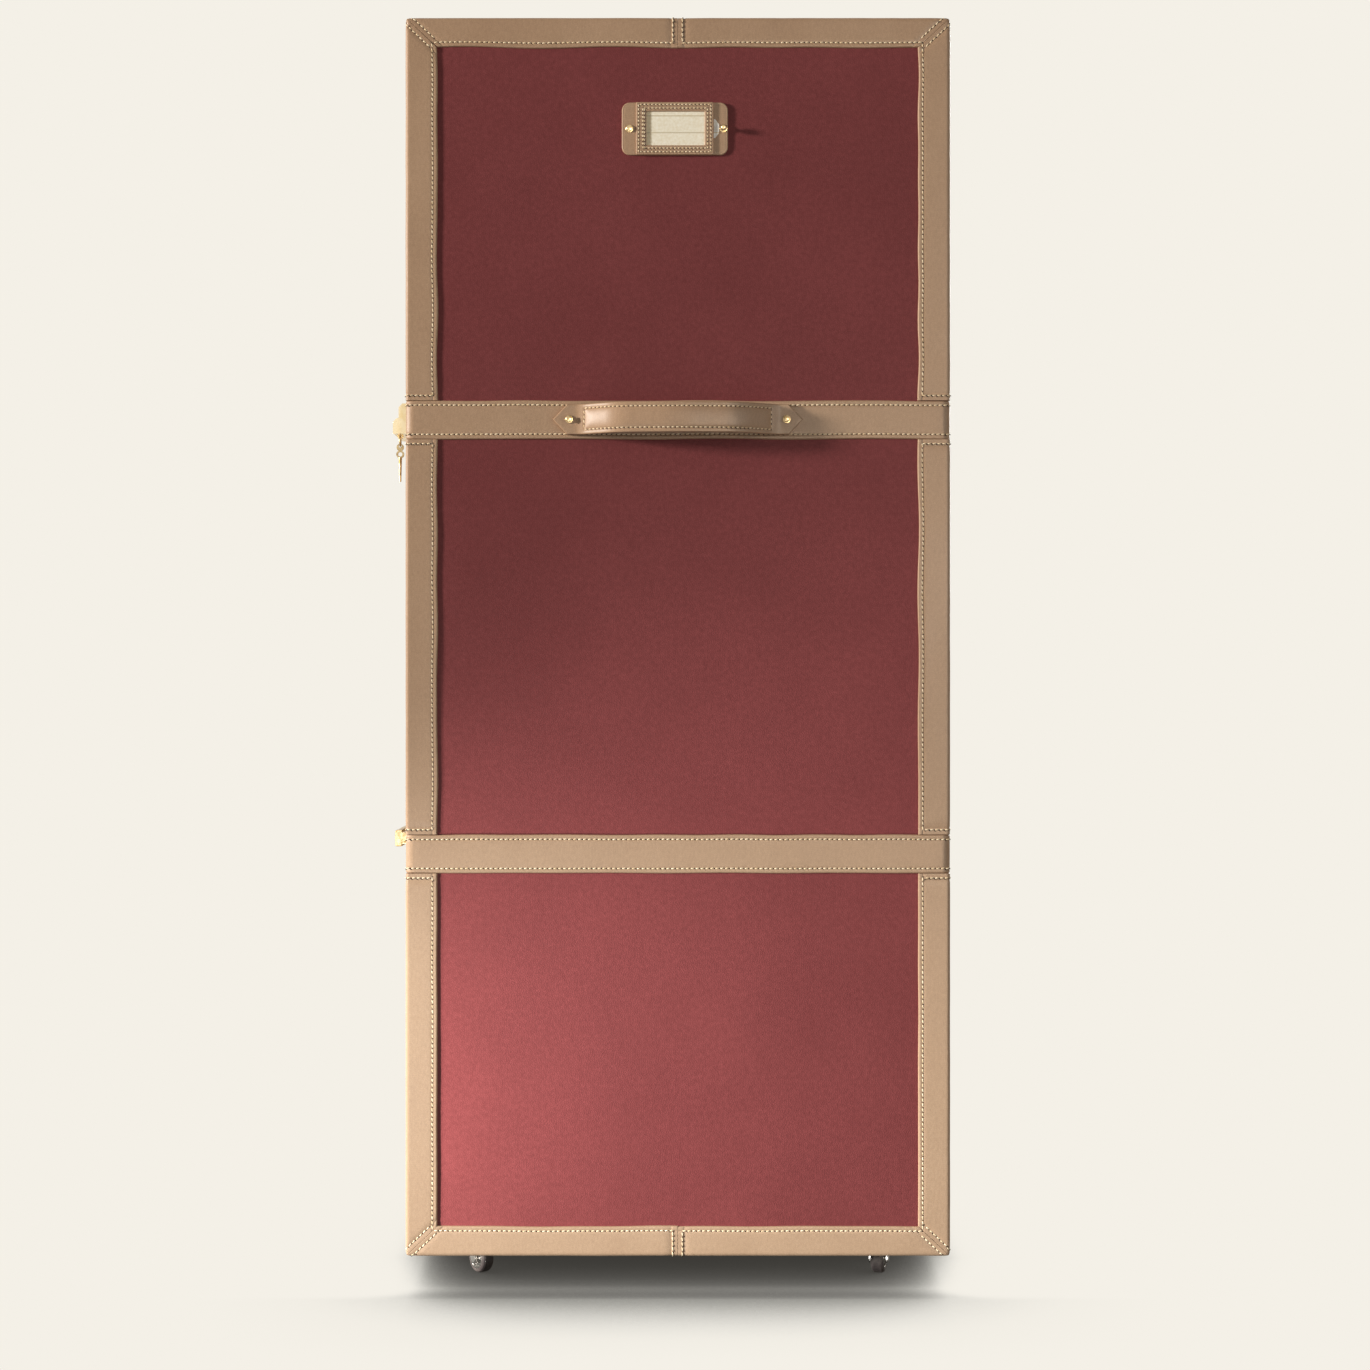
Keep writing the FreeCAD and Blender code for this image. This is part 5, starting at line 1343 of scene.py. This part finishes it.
@dataclass
class LabelHolder:
    """The label holder: a leather base with round corners and a sewn window frame that takes the card."""

    palette: Palette
    base_corner: float = 8.0
    frame_corner: float = 1.2
    window: tuple[float, float] = (59.0, 34.0)
    window_corner: float = 0.9
    window_shift: float = 0.6
    border: float = 9.5
    roll: float = 0.9
    rows: tuple[float, ...] = (0.28, 0.67)
    groove: tuple[float, float] = (0.3, 0.7)
    stitches: Stitches = field(
        default_factory=lambda: Stitches(length=2.5, radius=0.52, rise=0.2, slant=0.3, hole=0.6, pitch=3.8))

    def outline(self, node: str, radius: float) -> Ring:
        """The contour of a node's bounding rectangle at its back."""
        lo, hi = low(node), high(node)
        return Ring(((lo[0] + hi[0]) / 2, (lo[2] + hi[2]) / 2), ((hi[0] - lo[0]) / 2, (hi[2] - lo[2]) / 2),
                    radius, float(hi[1]))

    def base(self) -> None:
        """A flat base with a rolled edge and a creased line just inside it."""
        outer = self.outline("label_base", self.base_corner)
        front = float(low("label_base")[1])
        rolled = ((0.0, self.roll), (0.1, 0.55), (0.35, 0.2), (0.8, 0.02))
        creased = ((1.6, 0.0), (2.0, 0.12), (2.4, 0.0), (3.4, 0.0))
        rings = [outer] + [outer.shrunk(inset, front + depth) for inset, depth in rolled + creased]
        parts = MeshParts()
        grid = np.stack([ring.points() for ring in rings])
        parts.add_grid(grid, wrap=True)
        last = grid[-1]
        fan = np.concatenate([last, last.mean(axis=0, keepdims=True)])
        count = len(last)
        parts.add(fan, np.array([[k, (k + 1) % count, count] for k in range(count)]))
        make_piece("label_base_leather", parts, [self.palette.tan], "door", "tan_leather", ["label_base"])

    def frame(self) -> None:
        """The window frame: rolled outside and inside, sunk along both rows of stitches."""
        outer = self.outline("label_frame", self.frame_corner)
        middle = (outer.middle[0] + self.window_shift, outer.middle[1])
        inner = Ring(middle, (self.window[0] / 2, self.window[1] / 2), self.window_corner, outer.y)
        front = float(low("label_frame")[1])
        shares = np.array([
            0, 0.012, 0.04, 0.09, 0.16, 0.22, 0.28, 0.34, 0.47, 0.61, 0.67, 0.73, 0.84, 0.92, 0.97, 1.0])
        edge = np.minimum(shares, 1 - shares) * self.border
        depth = self.roll * (1 - quarter_roll(edge, self.roll))
        sunk, reach = self.groove
        for row in self.rows:
            depth = depth + sunk * np.exp(-((shares - row) * self.border / reach) ** 2)
        rings = [outer.blended(inner, float(s), front + float(d)) for s, d in zip(shares, depth)]
        parts = MeshParts()
        grid = np.stack([ring.points() for ring in (outer, *rings, inner)])
        parts.add_grid(np.concatenate([grid, grid[:1]]), wrap=True)
        make_piece("label_frame_leather", parts, [self.palette.tan], "door", "tan_leather", ["label_frame"])
        for row in self.rows:
            self.sew(outer.blended(inner, row, front + sunk))
        spare = np.arange(-inner.half[1] - 3.0, inner.half[1] + 3.0, SEAM_STEP)
        left = inner.middle[0] - inner.half[0] - 1.7
        path = np.stack([np.full_like(spare, left), np.full_like(spare, front + 0.1), middle[1] + spare], axis=-1)
        self.stitches.run(path, self.facing(path), 0.5)
        make_piece("label_stitching", self.stitches.parts, [self.palette.thread, self.palette.hole],
                   "door", "tan_leather")

    @staticmethod
    def facing(path: Array) -> Array:
        """The outward direction, to the front, at each point of a path."""
        return np.broadcast_to([0.0, -1.0, 0.0], path.shape).copy()

    def sew(self, ring: Ring) -> None:
        """Sews the four sides of one row."""
        (x, z), (half_x, half_z) = ring.middle, ring.half
        corners = [(x + half_x * a, z + half_z * b) for a, b in ((1, -1), (1, 1), (-1, 1), (-1, -1))]
        for first, second in zip(corners, corners[1:] + corners[:1]):
            share = np.linspace(0, 1, 120)[:, None]
            flat = np.array(first) * (1 - share) + np.array(second) * share
            path = np.stack([flat[:, 0], np.full(len(flat), ring.y), flat[:, 1]], axis=-1)
            self.stitches.run(path, self.facing(path), 0.9)

    def build(self) -> None:
        """Makes the base and the frame."""
        self.base()
        self.frame()


# ---------------------------------------------------------------- metal, rubber and boards


@dataclass
class Studs:
    """The ball-headed brass studs of the handle and the label, as smooth turned work.

    Each stands on a seat and is turned about a line along Y. Its outline is a list of (radius, height) steps from
    the shank's end to the tip of the head; each stud has its own share of the head's full height.
    """

    palette: Palette
    shank: float = 2.0
    flange: float = 4.0
    collar: float = 1.0
    edge: float = 0.5
    neck: float = 1.6
    ball: float = 3.2
    sides: int = 40
    shares: tuple[tuple[str, float, float], ...] = (("handle_studs", 0.42, 0.55), ("label_studs", 0.36, 1.0))

    def outline(self, depth: float, share: float) -> Array:
        """The steps of one stud: shank, rounded flange, waisted neck and a ball.

        Args:
            depth: how far the shank reaches behind the seat.
            share: 1 for a full ball, less for a flatter one.

        Returns:
            An array of (radius, height) in millimetres.
        """
        foot = [(0.01, -depth), (self.shank, -depth), (self.shank, -0.02), (self.flange, 0.0)]
        edge = [(self.flange + self.edge * (math.cos(a) - 1), 0.4 + self.edge * math.sin(a))
                for a in np.linspace(0, 1.57, 6)]
        start = math.asin(self.neck / self.ball)
        head = [(self.ball * math.sin(a), self.collar + self.neck + self.ball - self.ball * math.cos(a))
                for a in np.linspace(start, math.pi - 0.01, 22)]
        waist = [(self.neck + 0.9, self.collar), (self.neck + 0.25, 1.15), (self.neck, 1.6)]
        steps = np.array(foot + edge + waist + head)
        above = np.maximum(steps[:, 1] - self.collar, 0)
        steps[:, 1] -= above * (1 - share)
        return steps

    def turned(self, x: float, seat: float, z: float, steps: Array) -> Array:
        """Turns the steps round the line through (x, z); heights grow toward the viewer, along -Y."""
        turn = np.linspace(0.0, 2 * math.pi, self.sides, endpoint=False)[:, None]
        radius, height = steps[:, 0], steps[:, 1]
        return np.stack([
            x + radius * np.cos(turn), np.broadcast_to(seat - height, (self.sides, len(steps))),
            z + radius * np.sin(turn)], axis=-1).swapaxes(0, 1)

    def build(self) -> None:
        """Makes both pairs."""
        for node, *shares in self.shares:
            near, far = low(node), high(node)
            seat = near[1] + self.collar + self.neck + 2 * self.ball
            parts = MeshParts()
            for x, share in zip((near[0] + self.flange, far[0] - self.flange), shares):
                steps = self.outline(far[1] - seat, share)
                parts.add_grid(self.turned(x, seat, (near[2] + far[2]) / 2, steps), wrap=True)
            # The darker brass stands in for the dark reflections in the balls: painted shade.
            make_piece(node + "_turned", parts, [self.palette.darker_brass], "door", "polished_brass", [node])


@dataclass
class Fittings:
    """Metal and rubber nodes shown as copies whose edges are softened, as cast and turned pieces are.

    The edges say how far each node's rounding reaches; the dish is the inner and outer radius of the hollow in a
    caster wheel, whose faces take the dark rubber as painted shade; and moved gives a node's own depth from the
    trunk's left side as a factor, its shift towards the right and its rise.
    """

    palette: Palette
    edges: tuple[tuple[str, float], ...] = (
        ("lock_keeper", 0.5), ("lock_case", 0.5), ("lock_cylinder", 0.3), ("lock_bolt", 0.3),
        ("catch_keeper", 0.6), ("catch_bracket", 0.6), ("catch_rod", 0.4), ("key_ring", 0.0), ("key", 0.25),
        ("door_hinge_leaves", 0.35), ("case_hinge_leaves", 0.35), ("hinge_pins", 0.4), ("rail_sockets", 0.5),
        ("hanging_rail", 0.4), ("caster_plates", 0.4),
    )
    caster_edge: float = 0.4
    sharp_angle: float = 0.6
    dish: tuple[float, float] = (4.6, 8.5)
    moved: tuple[tuple[str, float, float, float], ...] = (
        ("lock_keeper", 0.94, 0.0, 0.0), ("lock_case", 0.94, 0.0, 0.0), ("lock_cylinder", 0.94, 0.0, 0.0),
        ("lock_bolt", 0.94, 0.0, 0.0), ("key_ring", 1.0, 0.5, 0.0), ("key", 1.0, 0.5, 0.0),
        ("catch_keeper", 0.82, 0.0, 1.5), ("catch_bracket", 0.82, 0.0, 1.5), ("catch_rod", 0.82, 0.0, 1.5),
    )
    keeper_cap: float = 3.95
    darker_pieces: tuple[str, ...] = ("catch_keeper", "catch_bracket", "catch_rod", "key_ring", "key")

    def finish_of(self, node: str, slot: str) -> bpy.types.Material:
        """The material of a node: its record slot's, or the darker brass on the catch, the key and its ring."""
        if node in self.darker_pieces:
            return self.palette.darker_brass
        return {"polished_brass": self.palette.brass, "nickel_steel": self.palette.nickel,
                "black_rubber": self.palette.rubber}[slot]

    def soften(self, node: str, width: float, body: str, slot: str) -> None:
        """Copies a node, joins its triangles into flat faces and rounds its sharp edges.

        Args:
            node: the CAD node.
            width: how far the rounding reaches from an edge, in millimetres; 0 leaves the edges alone.
            body: the body that it rides on.
            slot: its material slot in the record.
        """
        mesh = frame["nodes"][node].data.copy()
        mesh.name = node + "_softened"
        work = bmesh.new()
        work.from_mesh(mesh)
        bmesh.ops.remove_doubles(work, verts=work.verts, dist=0.0005 * MM)
        bmesh.ops.dissolve_limit(work, angle_limit=math.radians(0.5), verts=work.verts, edges=work.edges)
        sharp = [edge for edge in work.edges
                 if len(edge.link_faces) == 2 and edge.calc_face_angle() > self.sharp_angle]
        if width and sharp:
            bmesh.ops.bevel(work, geom=sharp, offset=width * MM, segments=2, profile=0.6, affect="EDGES",
                            clamp_overlap=True)
        if node == "catch_keeper":
            self.cap(work)
        for factor, shift, rise in [row[1:] for row in self.moved if row[0] == node]:
            side = -TRUNK.side * MM
            for vertex in work.verts:
                vertex.co.x = side + (vertex.co.x - side) * factor + shift * MM
                vertex.co.z += rise * MM
        # Faces in a caster wheel's dish take the dark rubber in the second slot: painted shade of the hollow.
        recessed = self.recess(node)
        for face in work.faces:
            face.smooth = True
            face.material_index = int(recessed is not None and recessed(np.array(face.calc_center_median()) / MM))
        work.to_mesh(mesh)
        work.free()
        mesh.materials.clear()
        mesh.materials.append(self.finish_of(node, slot))
        mesh.materials.append(self.palette.rubber)
        piece = bpy.data.objects.new(mesh.name, mesh)
        bpy.context.scene.collection.objects.link(piece)
        piece.modifiers.new("even_normals", "WEIGHTED_NORMAL").weight = 80
        place_on(piece, body, slot, [node])

    def cap(self, work: bmesh.types.BMesh) -> None:
        """Closes the catch keeper's bore with a thin disc just in front of it."""
        rod = (low("catch_rod") + high("catch_rod")) / 2
        front = Vector((rod[0] * MM, (low("catch_keeper")[1] - 0.05) * MM, rod[2] * MM))
        bmesh.ops.create_circle(work, cap_ends=True, segments=32, radius=self.keeper_cap * MM,
                                matrix=Matrix.Translation(front) @ Matrix.Rotation(math.pi / 2, 4, "X"))

    def recess(self, node: str) -> Callable[[Array], bool] | None:
        """For a caster wheel, a test of whether a place lies in the dish between its hub and its rim, whose faces
        take the dark rubber as painted shade.
        """
        if not node.startswith("caster_wheel"):
            return None
        joint = next(j for j in frame["record"]["behaviour"]["joints"] if j["child"] == node.replace("caster_", ""))
        centre, axis = np.array(joint["pos_m"]) / MM, np.array(joint["axis"])

        def inside(place: Array) -> bool:
            """Whether a place lies between the dish's two radii round the axle."""
            out = place - centre
            radius = np.linalg.norm(out - axis * float(out @ axis))
            return bool(self.dish[0] < radius < self.dish[1])

        return inside

    def build(self) -> None:
        """Softens every listed node and the four casters."""
        bodies = {node: body for body, nodes in frame["record"]["behaviour"]["bodies"].items() for node in nodes}
        slots = {part["node"]: part["material_slot"] for part in frame["record"]["subparts"]}
        widths = dict(self.edges)
        for node in slots:
            if node.startswith("caster_") and node not in widths:
                widths[node] = self.caster_edge
        for node, width in widths.items():
            self.soften(node, width, bodies[node], slots[node])


# ---------------------------------------------------------------- studio


class Lights(Enum):
    """What a lamp lights; grained hide takes raking light more strongly than bridle leather."""

    EVERYTHING = "everything"
    HIDE = "the door's hide alone"
    ALL_BUT_HIDE = "all but the door's hide"


@dataclass(frozen=True)
class Lamp:
    """A square soft box, or a spot, given by where it stands, where it looks, its size and its power, in metres.

    A cone, in degrees, makes it a spot without gloss, and sheen leaves only its gloss.
    """

    name: str
    place: tuple[float, float, float]
    aim: tuple[float, float, float]
    size: float
    power: float
    colour: str = "#ffffff"
    cone: float = 0.0
    sheen: bool = False
    lights: Lights = Lights.EVERYTHING

    def link(self, hide: bpy.types.Object) -> None:
        """Lets the lamp light the hide alone, or all but it."""
        receivers = bpy.data.collections.new(self.name + "_receivers")
        receivers.objects.link(hide)
        if self.lights is Lights.ALL_BUT_HIDE:
            receivers.collection_objects[0].light_linking.link_state = "EXCLUDE"
        bpy.data.objects[self.name].light_linking.receiver_collection = receivers

    def build(self) -> None:
        """Adds the lamp, turned to its aim."""
        data = bpy.data.lights.new(self.name, "SPOT" if self.cone else "AREA")
        data.energy, data.color = self.power, linear(self.colour)[:3]
        if self.cone:
            data.spot_size, data.spot_blend, data.shadow_soft_size = math.radians(self.cone), 1.0, self.size / 2
        else:
            data.shape, data.size = "SQUARE", self.size
        lamp = bpy.data.objects.new(self.name, data)
        lamp.visible_diffuse, lamp.visible_glossy = not self.sheen, not self.cone
        lamp.location = self.place
        lamp.rotation_euler = (Vector(self.aim) - Vector(self.place)).to_track_quat("-Z", "Y").to_euler()
        bpy.context.scene.collection.objects.link(lamp)


@dataclass
class Studio:
    """Pale backdrop and floor, soft lamps and the camera, in metres.

    On the floor, whose trunk shadow is painted into its colour, sky_reach is how far its open sky is measured, and
    each fade is where the painted lightening of that shadow beside the trunk's sides, under its front edge and deep
    below it starts and ends.
    """

    trunk: Trunk = TRUNK
    backdrop: str = "#f4f0e7"
    ambient: float = 0.17
    bounce: float = 0.24
    lamps: tuple[Lamp, ...] = (
        Lamp("window_from_left", (-6.0, -2.05, 1.85), (0.0, -0.27, 0.65), 0.7, 610.0, "#fffaf3"),
        Lamp("glow_from_low_left", (-2.7, -1.95, 0.5), (-0.16, -0.275, 0.08), 0.12, 760.0, "#eef9ff", cone=20.0,
             lights=Lights.ALL_BUT_HIDE),
        Lamp("glow_on_hide", (-0.95, -0.62, 0.12), (-0.2, -0.275, 0.08), 0.08, 118.0, "#fffaf6", cone=80.0,
             lights=Lights.HIDE),
        Lamp("soft_front", (0.6, -3.2, 1.6), (0.0, -0.2, 0.6), 2.2, 2.0, "#fffaf4"),
        Lamp("fill_from_right", (3.4, -3.0, 1.2), (0.1, -0.27, 0.7), 2.0, 30.0, "#fffdf8"),
        Lamp("fill_from_behind", (2.2, 4.2, 1.9), (0.0, 0.27, 0.65), 2.0, 150.0, "#fffaf4"),
        Lamp("sheen_from_right", (1.25, -2.9, 0.75), (0.26, -0.27, 0.65), 1.2, 12.0, "#fff8ee", sheen=True),
        Lamp("sheen_on_strips", (0.9, -2.9, 0.8), (0.2, -0.27, 0.7), 1.2, 42.0, "#fff0dc", sheen=True,
             lights=Lights.ALL_BUT_HIDE),
        Lamp("sheen_from_low_left", (-0.42, -1.35, 0.16), (-0.2, -0.27, 0.12), 0.3, 4.0, sheen=True),
    )
    shadow: tuple[tuple[float, str], ...] = (
        (0.05, "#3c3a36"), (0.15, "#43413d"), (0.2, "#4b4945"), (0.3, "#5b5955"), (0.42, "#797772"),
        (0.54, "#9c9a94"), (0.62, "#bab8b1"), (0.7, "#d3d0c9"), (0.78, "#e5e2da"), (0.87, "#f1ede4"),
    )
    sky_reach: float = 0.25
    side_fade: tuple[float, float] = (0.258, 0.325)
    front_fade: tuple[float, float] = (-0.01, 0.05)
    front_painted_light: float = 0.36
    deep_fade: tuple[float, float] = (0.19, 0.05)
    deep_painted_light: float = 0.26
    camera_back: float = 2.6
    half_frame: float = 0.6907
    camera_side: float = 0.0072
    camera_rise: float = 0.5765

    def shown_strength(self, tree: bpy.types.NodeTree, dim: float) -> bpy.types.NodeSocket:
        """Strength 1 for what is seen, mirrored or seen through, and a lower one for the light that it sends."""
        seen = add_node(tree, "ShaderNodeLightPath")
        mirrored = add_node(tree, "ShaderNodeMath", {
            0: seen.outputs["Is Camera Ray"], 1: seen.outputs["Is Glossy Ray"]}, operation="MAXIMUM")
        shown = add_node(tree, "ShaderNodeMath", {
            0: mirrored.outputs[0], 1: seen.outputs["Is Transmission Ray"]}, operation="MAXIMUM")
        return add_node(tree, "ShaderNodeMapRange", {
            "Value": shown.outputs[0], "To Min": dim, "To Max": 1.0}).outputs[0]

    def world(self) -> None:
        """Backdrop colour, which sends a plain ambient light."""
        world = bpy.data.worlds.new("studio_air")
        bpy.context.scene.world = world
        world.use_nodes = True
        ground = world.node_tree.nodes["Background"]
        ground.inputs["Color"].default_value = linear(self.backdrop)
        world.node_tree.links.new(self.shown_strength(world.node_tree, self.ambient), ground.inputs["Strength"])

    def floor(self) -> None:
        """A wide pale floor whose colour carries a painted shadow of the trunk near it and fades into the backdrop
        further off.

        The share of open sky over a point picks the painted shadow's tone; a painted lightening beside the trunk's
        two sides, under its front edge and deep below it adds to that share.
        """
        bpy.ops.mesh.primitive_plane_add(size=30.0)
        floor = bpy.context.object
        floor.name = "studio_floor"
        material = bpy.data.materials.new("matt_pale_floor")
        material.use_nodes = True
        tree = material.node_tree
        open_sky = add_node(tree, "ShaderNodeAmbientOcclusion", {"Distance": self.sky_reach}, samples=16)
        place = add_node(tree, "ShaderNodeTexCoord").outputs["Object"]
        apart = add_node(tree, "ShaderNodeSeparateXYZ", {0: place})
        aside = add_node(tree, "ShaderNodeMath", {0: apart.outputs["X"]}, operation="ABSOLUTE")
        front = self.trunk.front * MM

        def eased(socket: bpy.types.NodeSocket, start: float, end: float, top: float = 1.0) -> bpy.types.NodeSocket:
            """0 before start, top past end and a smooth step between them."""
            return add_node(tree, "ShaderNodeMapRange", {
                "Value": socket, "From Min": start, "From Max": end, "To Max": top},
                interpolation_type="SMOOTHSTEP").outputs[0]

        behind = apart.outputs["Y"]
        under, edge = (front + step for step in self.front_fade)
        # Painted lightening of the floor's painted shadow beside the trunk's sides and under its front edge.
        beside = add_node(tree, "ShaderNodeMath", {
            0: eased(aside.outputs[0], *self.side_fade), 1: eased(behind, under, edge, self.front_painted_light),
            2: open_sky.outputs["AO"]}, operation="MULTIPLY_ADD")
        deep = add_node(tree, "ShaderNodeMapRange", {
            "Value": behind, "From Min": front + self.deep_fade[0], "From Max": front + self.deep_fade[1],
            "To Max": self.deep_painted_light})
        painted_light_share = add_node(tree, "ShaderNodeMath", {
            0: deep.outputs[0], 1: eased(behind, front, edge), 2: beside.outputs[0]}, operation="MULTIPLY_ADD")
        # The ramp of shadow tones paints the trunk's shadow into the floor's own emitted colour.
        shade = add_node(tree, "ShaderNodeValToRGB", {"Fac": painted_light_share.outputs[0]}, stops=tuple(
            (share, linear(tone)) for share, tone in self.shadow) + ((1.0, linear(self.backdrop)),))
        glow = add_node(tree, "ShaderNodeEmission", {
            "Color": shade.outputs[0], "Strength": self.shown_strength(tree, self.bounce)})
        tree.links.new(glow.outputs[0], tree.nodes["Material Output"].inputs["Surface"])
        floor.data.materials.append(material)

    def camera(self) -> None:
        """Camera level with the trunk's middle, square to its front."""
        data = bpy.data.cameras.new("camera")
        data.sensor_fit = "AUTO"
        data.angle = 2 * math.atan(self.half_frame / self.camera_back)
        camera = bpy.data.objects.new("camera", data)
        camera.location = (
            self.camera_side, self.trunk.front * MM - self.camera_back, self.trunk.foot * MM + self.camera_rise)
        camera.rotation_euler = (math.pi / 2, 0.0, 0.0)
        bpy.context.scene.collection.objects.link(camera)
        bpy.context.scene.camera = camera

    def build(self) -> None:
        """Sets up everything that isn't the trunk."""
        bpy.context.scene.view_settings.view_transform = "Standard"
        self.world()
        self.floor()
        self.camera()
        for lamp in self.lamps:
            lamp.build()

    def share_light(self, hide: bpy.types.Object) -> None:
        """Links the hide to the lamps that light it alone, or all but it."""
        for lamp in self.lamps:
            if lamp.lights is not Lights.EVERYTHING:
                lamp.link(hide)


# ---------------------------------------------------------------- the CAD nodes that stay


def board_stack(node: str) -> PlyStack:
    """The direction in which a board's veneers are stacked, which is that of its least thickness."""
    return tuple(PlyStack)[int(np.argmin(high(node) - low(node)))]


def dress_nodes(palette: Palette) -> None:
    """Gives every CAD node that is still shown the material of its slot, and each board its own stack."""
    by_slot = {
        "burgundy_leather": palette.burgundy, "tan_leather": palette.tan, "suede_lining": palette.suede,
        "polished_brass": palette.brass, "nickel_steel": palette.nickel, "black_rubber": palette.rubber,
        "cream_card": palette.card,
    }
    for part in frame["record"]["subparts"]:
        name, slot = part["node"], part["material_slot"]
        finish = palette.plywood[board_stack(name)] if slot == "birch_board" else by_slot[slot]
        frame["nodes"][name].data.materials.clear()
        frame["nodes"][name].data.materials.append(finish)


def main() -> None:
    """Builds the studio and the trunk."""
    logging.basicConfig(level=logging.INFO, format="%(message)s")
    palette = Palette()
    studio = Studio()
    studio.build()
    dress_nodes(palette)
    BoundDoor(palette).build()
    BoundCase(palette).build()
    Hides(palette).build()
    CarryingHandle(palette).build()
    LabelHolder(palette).build()
    Studs(palette).build()
    Fittings(palette).build()
    studio.share_light(bpy.data.objects["door_hide"])


if __name__ == "__main__":
    main()
